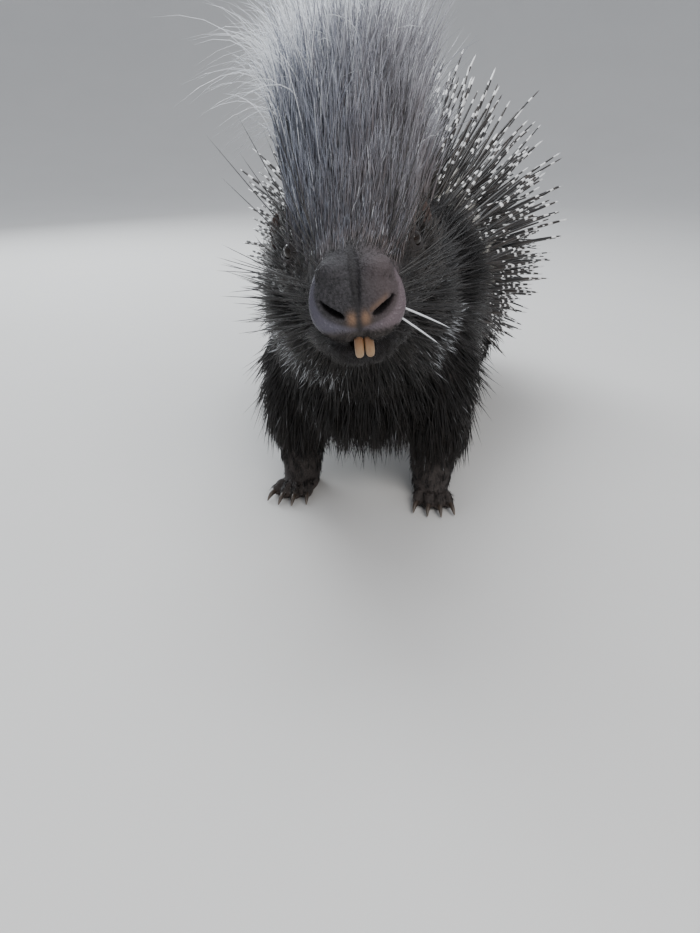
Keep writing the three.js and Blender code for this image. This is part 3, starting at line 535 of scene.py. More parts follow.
def make_skin():
    """Head, body and feet, each at the fineness it needs, joined as one surface."""
    added = [head_loft(HEAD, 80), head_loft(JAW, 30)]
    for side in (-1, 1):
        pad = head_points([(side * NOSE_PAD[0], *NOSE_PAD[1:])])[0]
        added.append(ball(NOSE_PAD_RADII, pad, HEAD_TURN))
    cut = [swept(FURROW, head_way(1, 0, 0), 40)]
    cut.append(ball(MOUTH_RADII, head_points([MOUTH])[0], HEAD_TURN))
    for _, side in SIDES:
        added.append(swept(NOSE_WING, head_way(0, 1, 0), mirror=side))
        added.extend(lid_parts(side))
        outer, hollow, fold = ear_parts(side)
        added.append(outer)
        cut.append(hollow)
        cut.append(swept(NOSTRIL, head_way(side * -0.35, 0.9, 0.15), mirror=side))
        cut.append(swept(MOUTH_LINE, head_way(side, 0, 0), mirror=side))
        cut.append(ball(np.full(3, EYE_RADIUS + EYE_GAP), EYE_CENTRES[side]))
    head = fused("skin", added, HEAD_VOXEL, 5)
    head = combined(head, fused("cuts", cut, CUT_VOXEL, 2), "DIFFERENCE")
    head = remeshed(head, HEAD_VOXEL, 3)
    body = torso_parts() + [tail_part()]
    for leg in LEGS.values():
        for _, side in SIDES:
            body.append(leg_part(leg, side))
    skin = combined(head, fused("body", body, BODY_VOXEL, 6), "UNION")
    for leg in LEGS.values():
        for _, side in SIDES:
            foot = fused("foot", foot_parts(leg, side), FOOT_VOXEL, 4)
            skin = combined(skin, foot, "UNION")
    return skin


skin = make_skin()


def flatten_soles(made):
    """The soles rest on the floor."""
    points = fetched(made.data.vertices, "co").astype(float)
    points[:, 2] = np.maximum(points[:, 2], 0)
    set_points(made.data, points)
    made.data.update()


flatten_soles(skin)


# Where each point of the skin lies


class Places:
    """The region of each of many points: the head's frame, the angle round the body, legs and tail."""

    def __init__(self, points):
        self.points = points
        self.x, self.y, self.z = points.T
        self.across, self.back, self.up = head_places(points).T
        self.head = ramp((points - HEAD_CUT) @ HEAD_CUT_NORMAL, -12, 12)
        along = np.maximum(self.y, -150)
        middle = (column(TORSO, along, 2) + column(TORSO, along, 3)) / 2
        neck = column(NECK, np.maximum(-self.y, 150), 1)
        axis = middle + (neck - middle) * ramp(-self.y, 120, 190)
        self.angle = np.degrees(np.arctan2(self.z - axis, self.x))
        self.down = np.abs((self.angle - 90 + 180) % 360 - 180)  # 0 on the back line, 180 under the belly
        self.face_down = np.degrees(np.abs(np.arctan2(self.across, self.up)))
        self.tail = ramp(self.y, 300, 316)
        self.leg = np.zeros(len(points))
        for leg in LEGS.values():
            joints = np.array(leg["joints"], float)[::-1]
            middle = [np.interp(self.z, joints[:, 2], joints[:, k]) for k in (0, 1, 3, 4)]
            near = np.hypot(
                (np.abs(self.x) - middle[0]) / (middle[2] + 7), (self.y - middle[1]) / (middle[3] + 9)
            )
            foot = np.hypot(
                (np.abs(self.x) - leg["ankle"][0]) / (leg["width"] * 0.5 + 14),
                (self.y - leg["ankle"][1] + 12) / (leg["length"] * 0.5 + 34),
            )
            column_here = (near < 1) * ramp(self.z, 112, 88)
            foot_here = (foot < 1) * ramp(self.z, 50, 40)
            self.leg = np.maximum(self.leg, np.maximum(column_here, foot_here))


def near_curve(points, rows, mirror):
    """Distance from points to a curve in the head's frame, less the curve's own thickness."""
    rows = spline(rows, 24)
    rows[:, 0] *= mirror
    line = head_points(rows[:, :3])
    away = np.linalg.norm(points[:, None] - line[None], axis=2)
    return (away - rows[:, 4]).min(1)


def near_points(points, centre, reach):
    """Which points are near a centre, so that slow tests run on few of them."""
    return np.linalg.norm(points - centre, axis=1) < reach


def face_masks(points):
    """How far each point belongs to the bare nose wings, the pad over them, the tan split and so on."""
    names = ("wing", "pad", "pinker_to_left", "furrow", "tan", "hole_shade", "ear", "lid")
    masks = {name: np.zeros(len(points)) for name in names}
    muzzle = near_points(points, head_points([(0, 10, 0)])[0], 90)
    here = points[muzzle]
    places = head_places(here)
    wing = np.zeros(len(here))
    hole_shade = np.zeros(len(here))
    deep = [(across, back + 6, up, 4, 3.2) for across, back, up, _, _ in NOSTRIL]
    for _, side in SIDES:
        wing = np.maximum(wing, ramp(near_curve(here, NOSE_WING, side), 2.4, -0.4))
        hole_shade = np.maximum(hole_shade, ramp(near_curve(here, deep, side), 1.6, -0.6))
    across, back, up = places.T
    masks["pad"][muzzle] = ramp(back, 46, 22) * ramp(up, -12, -4)
    masks["wing"][muzzle] = wing * ramp(up, -17.5, -10.5) * ramp(back, 26, 16)
    # Pad and nose wings lighter and pinker towards the animal's left.
    masks["pinker_to_left"][muzzle] = ramp(across, -4, 22) * ramp(back, 40, 24)
    # Painted shade: the furrow down the pad and the split of the lip are darkened almost to black.
    groove = ramp(near_curve(here, FURROW, 1), 1.8, -0.8) * ramp(back, 40, 28)
    masks["furrow"][muzzle] = groove
    spots = np.exp(-(((np.abs(across) - 4.6) / 3.4) ** 2) - ((up + 5.5) / 4.6) ** 2) * ramp(back, 12, 5)
    rim = np.exp(-(((up - 0.62 * (across - 9)) / 2.6) ** 2)) * ramp(across, 6, 10) * ramp(across, 24, 18)
    masks["tan"][muzzle] = np.maximum(spots, 0.45 * rim * ramp(up, -6, -2) * ramp(back, 12, 5))
    # Painted shade: near-black inside the nostril slits, and over the mouth and under the jaw.
    masks["hole_shade"][muzzle] = np.maximum(hole_shade, ramp(up, -21, -24) * ramp(back, 6, 10))
    masks["hole_shade"][muzzle] *= ramp(np.abs(across), 31, 26)
    for _, side in SIDES:
        ear = head_points([(side * EAR["out"], EAR["back"], EAR["height"])])[0]
        local = (points - ear) @ ear_turn(side)
        size = np.linalg.norm(local / [EAR["wide"] + 1, EAR["deep"] + 1, EAR["tall"] + 1], axis=1)
        masks["ear"] = np.maximum(masks["ear"], ramp(size, 1.12, 1.0))
        eye = np.linalg.norm(points - EYE_CENTRES[side], axis=1)
        masks["lid"] = np.maximum(masks["lid"], ramp(eye, 13.5, 10.5))
    return masks


def add_values(mesh, name, values):
    """A value for each vertex, which a material reads by name."""
    field = mesh.attributes.new(name, "FLOAT", "POINT")
    field.data.foreach_set("value", np.asarray(values, np.float32))


def unwrap(places):
    """The skin unrolled round the body's axis, with the four legs unrolled below it."""
    u = (places.angle + 90) % 360 / 360
    v = 0.32 + 0.66 * np.clip((places.y + 440) / 850, 0, 1)
    quarter = (places.x > 0) * 1 + (places.y > 0) * 2
    leg_u = np.zeros(len(u))
    for leg, first in ((LEGS["fore"], 0), (LEGS["hind"], 2)):
        for k, side in ((0, -1), (1, 1)):
            here = quarter == first + k
            turned = np.arctan2(places.y[here] - leg["ankle"][1], places.x[here] - side * leg["ankle"][0])
            leg_u[here] = (first + k + 0.04 + 0.9 * (turned / (2 * np.pi) + 0.5)) / 4
    on_leg = places.leg > 0.5
    u = np.where(on_leg, leg_u, u)
    v = np.where(on_leg, 0.02 + 0.26 * np.clip(places.z / 120, 0, 1), v)
    return np.column_stack([u, v]) * 0.985


# The skin as triangles to grow from

SKIN_POINTS = fetched(skin.data.vertices, "co").astype(float)
skin.data.calc_loop_triangles()
CORNERS = fetched(skin.data.loop_triangles, "vertices", np.int32)
SKIN_NORMALS = fetched(skin.data.vertices, "normal").astype(float)
EDGES = SKIN_POINTS[CORNERS]
AREAS = np.linalg.norm(np.cross(EDGES[:, 1] - EDGES[:, 0], EDGES[:, 2] - EDGES[:, 0]), axis=1) / 2
MIDDLES = Places(EDGES.mean(1))
MASKS = face_masks(SKIN_POINTS)
BARE = np.clip(MASKS["wing"] + MASKS["hole_shade"] + MASKS["lid"] + MASKS["furrow"] + MASKS["tan"] * 0.7, 0, 1)


def roots(density, count, random):
    """Points spread over the skin by density, with their normals."""
    weight = AREAS * np.clip(density, 0, None)
    chosen = np.searchsorted(np.cumsum(weight) / weight.sum(), random.random(count))
    a, b = random.random((2, count))
    flip = a + b > 1
    a, b = np.where(flip, 1 - a, a), np.where(flip, 1 - b, b)
    shares = np.column_stack([1 - a - b, a, b])[:, :, None]
    points = (SKIN_POINTS[CORNERS[chosen]] * shares).sum(1)
    return points, unit((SKIN_NORMALS[CORNERS[chosen]] * shares).sum(1))


def spaced(density, count, gap, random):
    """Roots at least a gap apart, for pieces that stand singly."""
    points, normals_here = roots(density, count * 5, random)
    grid, kept = {}, []
    steps = np.array(np.meshgrid([-1, 0, 1], [-1, 0, 1], [-1, 0, 1], indexing="ij")).reshape(3, -1).T
    for i, cell in enumerate(np.floor(points / gap).astype(int)):
        nearby = [j for step in steps for j in grid.get(tuple(cell + step), ())]
        if all(np.sum((points[i] - points[j]) ** 2) >= gap * gap for j in nearby):
            grid.setdefault(tuple(cell), []).append(i)
            kept.append(i)
        if len(kept) == count:
            break
    return points[kept], normals_here[kept]


def lie_of(points, normals_here):
    """The way in which the coat lies: back from the nose, along the body, down the legs."""
    place = Places(points)
    from_nose = unit(points - head_points([(0, 10, -8)])[0])
    ones = np.ones(len(points))
    backwards = unit(np.column_stack([ones * 0, ones, -0.5 * np.sin(np.radians(place.down)) - 0.1]))
    fore = ramp(points[:, 1], -60, -200)[:, None]
    chest = (ramp(points[:, 1], -120, -190) * ramp(points[:, 2], 240, 170))[:, None]
    downwards = unit(np.column_stack([points[:, 0] * 0.004, ones * 0.25, -ones]))
    lie = backwards * (1 - fore) + from_nose * fore
    lie = lie * (1 - 0.6 * chest) + downwards * 0.6 * chest
    leg = place.leg[:, None]
    shank = np.array([0.0, 0.18, -1.0])
    foot = np.array([0.0, -1.0, -0.35])
    low = ramp(points[:, 2], 40, 22)[:, None]
    lie = lie * (1 - leg) + (shank * (1 - low) + foot * low) * leg
    tail = place.tail[:, None]
    lie = lie * (1 - tail) + np.array([0.0, 0.8, -0.6]) * tail
    flat = lie - (lie * normals_here).sum(1)[:, None] * normals_here
    return unit(flat)


def raised(normals_here, lie, degrees):
    angle = np.radians(degrees)[:, None]
    return unit(lie * np.cos(angle) + normals_here * np.sin(angle))


class Growth:
    """Roots on one region of the skin, and the random draws of what grows there."""

    def __init__(self, seed, area, count, gap=None):
        self.random = np.random.default_rng(seed)
        spread = spaced(area, count, gap, self.random) if gap else roots(area, count, self.random)
        self.root, self.normal = spread
        self.place = Places(self.root)
        self.count = len(self.root)

    def chance(self):
        return self.random.random(self.count)

    def vary(self, low, high):
        return self.random.uniform(low, high, self.count)

    def wander(self, size):
        return self.random.normal(size=self.count) * size

    def shake(self, size):
        """A draw for each axis of each root."""
        return self.random.normal(size=(self.count, 3)) * size

    def laid(self, rise, arch):
        """The way of strands that rise from the coat's lie, and how they bend back to the skin."""
        lie = lie_of(self.root, self.normal)
        down = 2 * arch * np.sin(np.radians(rise))
        return raised(self.normal, lie, rise), lie * 0.35 - self.normal * down[:, None]


# The coat stays inside the solids' own box
BOX_MARGIN = 4
BOX_LOW = np.array(CAD_LOW) * 1000 - SHIFT - BOX_MARGIN
BOX_HIGH = np.array(CAD_HIGH) * 1000 - SHIFT + BOX_MARGIN
BOX_LOW[2] = 1.2  # hair ends just above the floor


def centre_line(root, way, bend, length, share, late):
    """Points of each strand at shares of its length. bend is how far its way turns, late how late."""
    share = share[None, :, None]
    path = way[:, None] * share + bend[:, None] * share**late / late
    return root[:, None] + length[:, None, None] * path


def kept_in_box(root, way, bend, length, late=2):
    """Lengths cut so that each strand's whole line stays in the box."""
    length = length.copy()
    for _ in range(12):
        line = centre_line(root, way, bend, length, np.array([0.4, 0.6, 0.8, 1.0]), late)
        out = ((line < BOX_LOW) | (line > BOX_HIGH)).any(axis=(1, 2))
        if not out.any():
            break
        length[out] *= 0.9
    return length


SINK = 3.0  # depth of a root under the skin


def strands(name, paint, root, way, bend, length, radius, taper, sides, patch, place, values, late=2):
    """Many tapered strands as one mesh. taper holds shares of the length with shares of the radius.

    Each strand's corner of the OFBake map is a small patch where its root lies on the unrolled skin.
    """
    count, rings = len(root), len(taper) - 1
    share = np.array([row[0] for row in taper], float)
    thick = np.array([row[1] for row in taper], float)
    line = centre_line(root, way, bend, length, share, late)
    line[:, 0] -= way * np.minimum(SINK, length * 0.2)[:, None]
    heading = unit(way[:, None] + bend[:, None] * share[None, :, None] ** (late - 1))
    reference = np.where(np.linalg.norm(bend, axis=1, keepdims=True) > 1e-3, bend, LEFT)
    across = np.cross(way, reference)
    weak = np.linalg.norm(across, axis=1) < 1e-4
    across[weak] = np.cross(way[weak], [0.3, 0.9, 0.2])
    across = unit(across)[:, None] * np.ones((1, rings + 1, 1))
    other = unit(np.cross(heading, across))
    angle = around(sides)
    size = radius[:, None] * thick[None, :]
    ring = (
        line[:, :rings, None]
        + np.cos(angle)[None, None, :, None] * (across * size[:, :, None])[:, :rings, None]
        + np.sin(angle)[None, None, :, None] * (other * size[:, :, None])[:, :rings, None]
    )
    points = np.concatenate([ring.reshape(count, rings * sides, 3), line[:, rings:]], axis=1)
    per = rings * sides + 1
    quads = [quad for i in range(rings - 1) for quad in between(i, i + 1, sides)]
    last = (rings - 1) * sides
    tips = [(last + k, last + (k + 1) % sides, rings * sides) for k in range(sides)]
    start = np.arange(count)[:, None, None] * per
    quads = (np.array(quads)[None] + start).reshape(-1, 4)
    tips = (np.array(tips)[None] + start).reshape(-1, 3)
    mesh = bpy.data.meshes.new(name)
    mesh.vertices.add(count * per)
    set_points(mesh, in_row_frame(points.reshape(-1, 3)))
    loops = np.concatenate([quads.ravel(), tips.ravel()])
    mesh.loops.add(len(loops))
    mesh.loops.foreach_set("vertex_index", loops.astype(np.int32))
    starts = np.concatenate([np.arange(len(quads)) * 4, len(quads) * 4 + np.arange(len(tips)) * 3])
    mesh.polygons.add(len(starts))
    mesh.polygons.foreach_set("loop_start", starts.astype(np.int32))
    mesh.update(calc_edges=True)
    mesh.validate()
    along = np.concatenate([np.repeat(share[:rings], sides), share[rings:]])
    add_values(mesh, "along", np.tile(along, count))
    for key, value in values.items():
        add_values(mesh, key, np.repeat(value, per))
    turned = np.concatenate([np.tile((np.arange(sides) + 0.5) / sides, rings), [0.5]])
    local = np.column_stack([turned * patch[0], along * patch[1]])
    spots = (place[:, None] + local[None]).reshape(-1, 2)
    layer = mesh.uv_layers.new(name="OFBake")
    order = fetched(mesh.loops, "vertex_index", np.int32, 1)[:, 0]
    layer.data.foreach_set("uv", spots[order].astype(np.float32).ravel())
    finished(linked(name, mesh), paint)


# Shares of a strand's length with shares of its radius. The last is its tip.
BRISTLE_TAPER = [(0, 0.8), (0.2, 1), (0.45, 0.92), (0.72, 0.62), (1, 0)]
SHORT_TAPER = [(0, 0.8), (0.35, 1), (0.7, 0.6), (1, 0)]
LONG_TAPER = [(0, 0.85), (0.18, 1), (0.36, 0.95), (0.54, 0.84), (0.7, 0.7), (0.86, 0.48), (1, 0)]
CURL_TAPER = [(0, 0.85)] + [(k / 12, 1 - 0.6 * (k / 12) ** 1.5) for k in range(1, 12)] + [(1, 0)]
QUILL_TAPER = [
    (0, 0.62), (0.12, 0.88), (0.28, 1), (0.48, 0.97), (0.66, 0.88), (0.84, 0.72), (0.96, 0.50),
    (1, 0),
]
TAIL_QUILL_TAPER = [(0, 0.5), (0.3, 0.7), (0.55, 0.8), (0.75, 1.0), (0.92, 1.05), (0.97, 0.8), (1, 0)]
SHORT_QUILL_TAPER = [(0, 0.65), (0.2, 1), (0.45, 0.97), (0.7, 0.82), (0.94, 0.52), (1, 0)]
HAIR_PATCH = (0.003, 0.003)
QUILL_PATCH = (0.003, 0.012)


def tufted(name, paint, grown, way, bend, length, radius, values, **more):
    """A coat of tufts. Each tuft has a few strands whose tips draw together or apart."""
    per, late, taper = more.get("per", 4), more.get("late", 2), more.get("taper", BRISTLE_TAPER)
    random, normal, size = grown.random, grown.normal[:, None], (grown.count, more.get("per", 4), 3)
    flat = lambda a: a.reshape(grown.count * per, -1)
    place = np.repeat(unwrap(grown.place), per, axis=0)
    offset = random.normal(size=size) * more["spread"]
    offset -= (offset * normal).sum(2, keepdims=True) * normal
    sway = random.normal(size=size) * more["splay"]
    long = length[:, None] * random.uniform(0.78, 1.12, size[:2])
    tip_pull = -offset * more["close"] / np.maximum(long[:, :, None], 1)
    ways = unit(flat(way[:, None] + sway + tip_pull))
    bends = flat(bend[:, None] + random.normal(size=size) * more.get("curl", 0.12))
    starts = flat(grown.root[:, None] + offset)
    lengths = kept_in_box(starts, ways, bends, long.ravel(), late)
    radii = (radius[:, None] * random.uniform(0.75, 1.2, size[:2])).ravel()
    drawn = {"draw": random.random(grown.count * per), "tone": np.repeat(grown.chance(), per)}
    for key, value in values.items():
        drawn[key] = np.repeat(value, per)
    strands(
        name, paint, starts, ways, bends, lengths, radii, taper, 3, HAIR_PATCH, place, drawn, late
    )


# Materials


class Paint:
    """A material's nodes, made one call at a time."""

    def __init__(self, name):
        self.material = bpy.data.materials.new(name)
        self.material.use_nodes = True
        self.nodes = self.material.node_tree.nodes
        self.links = self.material.node_tree.links
        self.shader = self.nodes["Principled BSDF"]

    def put(self, socket, value):
        if isinstance(value, bpy.types.NodeSocket):
            self.links.new(value, socket)
        else:
            socket.default_value = value

    def value(self, name):
        node = self.nodes.new("ShaderNodeAttribute")
        node.attribute_name = name
        return node.outputs["Fac"]

    def place(self):
        return self.nodes.new("ShaderNodeTexCoord").outputs["Object"]

    def noise(self, scale, detail, roughness=0.55):
        node = self.nodes.new("ShaderNodeTexNoise")
        node.inputs["Scale"].default_value = scale
        node.inputs["Detail"].default_value = detail
        node.inputs["Roughness"].default_value = roughness
        self.links.new(self.place(), node.inputs["Vector"])
        return node.outputs["Fac"]

    def cells(self, scale):
        node = self.nodes.new("ShaderNodeTexVoronoi")
        node.inputs["Scale"].default_value = scale
        self.links.new(self.place(), node.inputs["Vector"])
        return node.outputs["Distance"]

    def math(self, operation, a, b):
        node = self.nodes.new("ShaderNodeMath")
        node.operation = operation
        for socket, value in zip(node.inputs, (a, b)):
            self.put(socket, value)
        return node.outputs[0]

    def span(self, value, low, high, to_low=0.0, to_high=1.0):
        node = self.nodes.new("ShaderNodeMapRange")
        node.interpolation_type = "SMOOTHSTEP"
        keys = ("Value", "From Min", "From Max", "To Min", "To Max")
        for key, item in zip(keys, (value, low, high, to_low, to_high)):
            self.put(node.inputs[key], item)
        return node.outputs["Result"]

    def ramp(self, value, stops):
        node = self.nodes.new("ShaderNodeValToRGB")
        self.links.new(value, node.inputs["Fac"])
        elements = node.color_ramp.elements
        elements[0].position, elements[1].position = stops[0][0], stops[-1][0]
        elements[0].color, elements[1].color = (*stops[0][1], 1), (*stops[-1][1], 1)
        for position, colour in stops[1:-1]:
            elements.new(position).color = (*colour, 1)
        return node.outputs["Color"]

    def blend(self, share, a, b, kind="MIX"):
        node = self.nodes.new("ShaderNodeMix")
        node.data_type = "RGBA"
        node.blend_type = kind
        self.put(node.inputs["Factor"], share)
        colour = [s for s in node.inputs if s.type == "RGBA"]
        for socket, value in zip(colour, (a, b)):
            self.put(socket, (*value, 1) if isinstance(value, tuple) else value)
        return next(s for s in node.outputs if s.type == "RGBA")

    def over(self, colour, key, share, new):
        """A new colour over another, where a value of the mesh says."""
        return self.blend(self.math("MULTIPLY", self.value(key), share), colour, new)

    def bump(self, height, strength, distance):
        node = self.nodes.new("ShaderNodeBump")
        node.inputs["Strength"].default_value = strength
        node.inputs["Distance"].default_value = distance
        self.links.new(height, node.inputs["Height"])
        self.links.new(node.outputs["Normal"], self.shader.inputs["Normal"])

    def set(self, **sockets):
        for key, value in sockets.items():
            self.put(self.shader.inputs[key.replace("_", " ")], value)


BLACK_BROWN = (0.012, 0.010, 0.0095)
DARK_BROWN = (0.030, 0.024, 0.021)
WARM_BROWN = (0.085, 0.060, 0.045)
IVORY = (0.80, 0.77, 0.70)
WHITE = (0.88, 0.88, 0.88)
COOL_WHITE = (0.81, 0.83, 0.87)


def bristle_paint(name, stops, vary, roughness, white_from=0.66, sky_sheen_stops=None):
    """Bristles: colours along the length, each strand darker or paler, and some white at the tip. Optional
    bluish stops are painted skylight reflection.
    """
    paint = Paint(name)
    along = paint.value("along")
    draw = paint.value("draw")
    tone = paint.value("tone")
    colour = paint.ramp(along, stops)
    if sky_sheen_stops:
        # Painted reflection: bluish copies of the colours, mixed in per strand, for skylight on glossy
        # bristles.
        colour = paint.blend(paint.value("sky_sheen"), colour, paint.ramp(along, sky_sheen_stops))
    pale = paint.value("pale")
    tip = paint.span(paint.math("ADD", along, paint.value("early")), white_from, white_from + 0.26)
    chosen = paint.span(paint.math("SUBTRACT", pale, draw), -0.04, 0.04)
    all_white = paint.math("GREATER_THAN", pale, 0.995)
    white = paint.math("MAXIMUM", paint.math("MULTIPLY", tip, chosen), paint.math("MULTIPLY", all_white, 0.9))
    shade = paint.math("ADD", paint.math("MULTIPLY", draw, 0.6), paint.math("MULTIPLY", tone, 0.4))
    light = paint.math("SUBTRACT", paint.span(shade, 0.05, 0.75, 1 - vary, 1.0), paint.value("dim"))
    colour = paint.blend(1.0, colour, paint.ramp(light, [(0, (0, 0, 0)), (1, (1, 1, 1))]), "MULTIPLY")
    colour = paint.blend(white, colour, COOL_WHITE)
    streak = paint.noise(900, 2)
    paint.set(Base_Color=colour, Roughness=roughness, Specular_IOR_Level=0.45)
    paint.bump(streak, 0.25, 0.0004)
    return paint.material


def quill_paint(name, stops, plain_stops, plain_share):
    """Quills: sharp bands along the length, which differ from quill to quill, and fewer on a share."""
    paint = Paint(name)
    along = paint.value("along")
    draw = paint.value("draw")
    moved = paint.math("ADD", along, paint.span(draw, 0, 1, -0.055, 0.055))
    wavy = paint.math("ADD", moved, paint.span(paint.noise(70, 1), 0, 1, -0.012, 0.012))
    plain = paint.math("LESS_THAN", paint.value("tone"), plain_share)
    colour = paint.blend(plain, paint.ramp(wavy, stops), paint.ramp(wavy, plain_stops))
    stain = paint.span(paint.noise(38, 4), 0.35, 0.8)
    colour = paint.blend(paint.math("MULTIPLY", stain, 0.35), colour, WARM_BROWN)
    paint.set(Base_Color=colour, Roughness=0.33, Specular_IOR_Level=0.5)
    paint.bump(paint.noise(1400, 2), 0.15, 0.0002)
    return paint.material


def skin_paint():
    """Skin: dark under the coat, purple-grey and bare round the nostrils, tan at the split of the lip."""
    paint = Paint("skin_hide")
    broad = paint.noise(28, 4)
    fine = paint.noise(420, 4)
    colour = paint.blend(broad, (0.020, 0.016, 0.015), (0.048, 0.038, 0.034))
    pad = paint.blend(paint.span(fine, 0.3, 0.7), (0.007, 0.0068, 0.0082), (0.042, 0.039, 0.044))
    grain = paint.span(paint.cells(900), 0.1, 0.5, 0.35, 0.0)
    pad = paint.blend(grain, pad, (0.072, 0.066, 0.070))
    # Pad lighter and pinker towards the animal's left.
    pad = paint.over(pad, "pinker_to_left", 0.42, (0.105, 0.074, 0.076))
    colour = paint.blend(paint.value("pad"), colour, pad)
    wing = paint.blend(paint.noise(95, 4), (0.052, 0.049, 0.068), (0.086, 0.080, 0.104))
    # Nose wings lighter and pinker towards the animal's left.
    wing = paint.over(wing, "pinker_to_left", 0.8, (0.118, 0.086, 0.094))
    colour = paint.blend(paint.value("wing"), colour, wing)
    ear = paint.blend(paint.noise(120, 3), (0.060, 0.042, 0.038), (0.140, 0.098, 0.088))
    colour = paint.over(colour, "ear", 0.9, ear)
    tan = paint.blend(paint.noise(240, 3), (0.12, 0.070, 0.045), (0.28, 0.165, 0.10))
    colour = paint.blend(paint.value("tan"), colour, tan)
    colour = paint.over(colour, "lid", 0.8, (0.022, 0.018, 0.018))
    # Painted shade: the furrow down the pad and the split of the lip, almost black.
    colour = paint.over(colour, "furrow", 0.85, (0.008, 0.007, 0.008))
    # Painted shade: near-black inside the nostril slits, and over the mouth and under the jaw.
    colour = paint.blend(paint.value("hole_shade"), colour, (0.006, 0.004, 0.005))
    colour = paint.over(colour, "sole", 0.8, (0.070, 0.052, 0.046))
    moist = paint.span(paint.value("wing"), 0, 1, 0.72, 0.42)
    rough = paint.math("ADD", moist, paint.span(fine, 0.2, 0.8, -0.08, 0.08))
    paint.set(Base_Color=colour, Roughness=rough, Specular_IOR_Level=0.4)
    pores = paint.cells(620)
    wrinkle = paint.noise(170, 6, 0.65)
    height = paint.math("ADD", paint.math("MULTIPLY", pores, 0.6), paint.math("MULTIPLY", wrinkle, 0.9))
    paint.bump(height, 0.75, 0.0012)
    return paint.material


def eye_paint():
    paint = Paint("eye_glass")
    colour = paint.blend(paint.noise(160, 3), (0.006, 0.004, 0.003), (0.020, 0.012, 0.008))
    paint.set(Base_Color=colour, Roughness=0.04, Specular_IOR_Level=0.36)
    return paint.material


def tooth_paint():
    paint = Paint("tooth_enamel_and_shade")
    # Orange enamel, paler towards the tip; the near-black at the top is a painted shadow from the lip.
    stops = [
        (0, (0.06, 0.025, 0.010)), (0.4, (0.17, 0.085, 0.036)), (0.8, (0.27, 0.165, 0.085)),
        (1, (0.32, 0.21, 0.12)),
    ]
    colour = paint.ramp(paint.value("along"), stops)
    colour = paint.blend(paint.span(paint.noise(300, 4), 0.4, 0.8, 0, 0.5), colour, (0.18, 0.08, 0.03))
    paint.set(Base_Color=colour, Roughness=0.28, Specular_IOR_Level=0.5, Subsurface_Weight=0.12)
    paint.shader.inputs["Subsurface Radius"].default_value = (0.004, 0.002, 0.001)
    paint.bump(paint.noise(500, 3), 0.2, 0.0004)
    return paint.material


def claw_paint():
    paint = Paint("claw_horn")
    stops = [(0, (0.035, 0.025, 0.020)), (0.6, (0.075, 0.055, 0.042)), (1, (0.20, 0.165, 0.13))]
    colour = paint.ramp(paint.value("along"), stops)
    colour = paint.blend(paint.span(paint.noise(220, 4), 0.3, 0.8, 0, 0.6), colour, (0.020, 0.015, 0.012))
    paint.set(Base_Color=colour, Roughness=0.4, Specular_IOR_Level=0.5)
    paint.bump(paint.noise(700, 3), 0.3, 0.0004)
    return paint.material


CREST_PAINT = bristle_paint(
    "crest_bristle",
    [
        (0, (0.070, 0.057, 0.055)), (0.2, (0.215, 0.174, 0.166)), (0.5, (0.200, 0.176, 0.186)),
        (0.78, (0.28, 0.27, 0.30)), (1, (0.44, 0.44, 0.48)),
    ],
    0.68, 0.42, 0.45,
    # Bluish copies of the colours above: painted reflection of the sky on the glossy crest, mixed in per
    # strand.
    [
        (0, (0.044, 0.042, 0.052)), (0.2, (0.122, 0.112, 0.128)), (0.5, (0.112, 0.118, 0.150)),
        (0.78, (0.20, 0.22, 0.28)), (1, (0.42, 0.44, 0.51)),
    ],
)
COAT_PAINT = bristle_paint(
    "coat_bristle",
    [
        (0, (0.008, 0.006, 0.0055)), (0.5, BLACK_BROWN), (0.8, (0.019, 0.0145, 0.0120)),
        (1, (0.034, 0.025, 0.019)),
    ],
    0.5, 0.45,
)
WHISKER_PAINT = bristle_paint("whisker", [(0, BLACK_BROWN), (1, BLACK_BROWN)], 0.1, 0.35)
RUFF_PAINT = bristle_paint(
    "ruff_bristle",
    [
        (0, BLACK_BROWN), (0.4, (0.018, 0.0135, 0.011)), (0.75, (0.036, 0.026, 0.020)),
        (1, (0.080, 0.060, 0.048)),
    ],
    0.5, 0.45,
)
FACE_PAINT = bristle_paint(
    "face_hair", [(0, BLACK_BROWN), (0.5, (0.022, 0.018, 0.017)), (1, (0.050, 0.042, 0.040))], 0.45, 0.55
)
LONG_QUILL_PAINT = quill_paint(
    "quill_banded",
    [
        (0, IVORY), (0.10, IVORY), (0.13, BLACK_BROWN), (0.61, BLACK_BROWN), (0.62, WHITE),
        (0.655, WHITE), (0.665, BLACK_BROWN), (0.76, BLACK_BROWN), (0.77, WHITE), (0.82, WHITE),
        (0.83, BLACK_BROWN), (0.92, BLACK_BROWN), (0.93, WHITE), (1, WHITE),
    ],
    [
        (0, IVORY), (0.10, IVORY), (0.13, BLACK_BROWN), (0.80, BLACK_BROWN), (0.81, WHITE),
        (0.85, WHITE), (0.86, DARK_BROWN), (0.94, DARK_BROWN), (0.95, WHITE), (1, WHITE),
    ],
    0.5,
)
SIDE_QUILL_PAINT = quill_paint(
    "quill_dark",
    [
        (0, IVORY), (0.06, DARK_BROWN), (0.70, BLACK_BROWN), (0.715, WHITE), (0.77, WHITE),
        (0.785, BLACK_BROWN), (0.90, BLACK_BROWN), (0.915, WHITE), (1, WHITE),
    ],
    [(0, IVORY), (0.06, DARK_BROWN), (0.885, BLACK_BROWN), (0.90, WHITE), (1, WHITE)], 0.65,
)
TAIL_QUILL_PAINT = quill_paint(
    "quill_white",
    [(0, WHITE), (0.3, WHITE), (0.34, DARK_BROWN), (0.45, DARK_BROWN), (0.5, WHITE), (1, WHITE)],
    [(0, IVORY), (1, WHITE)], 0.6,
)
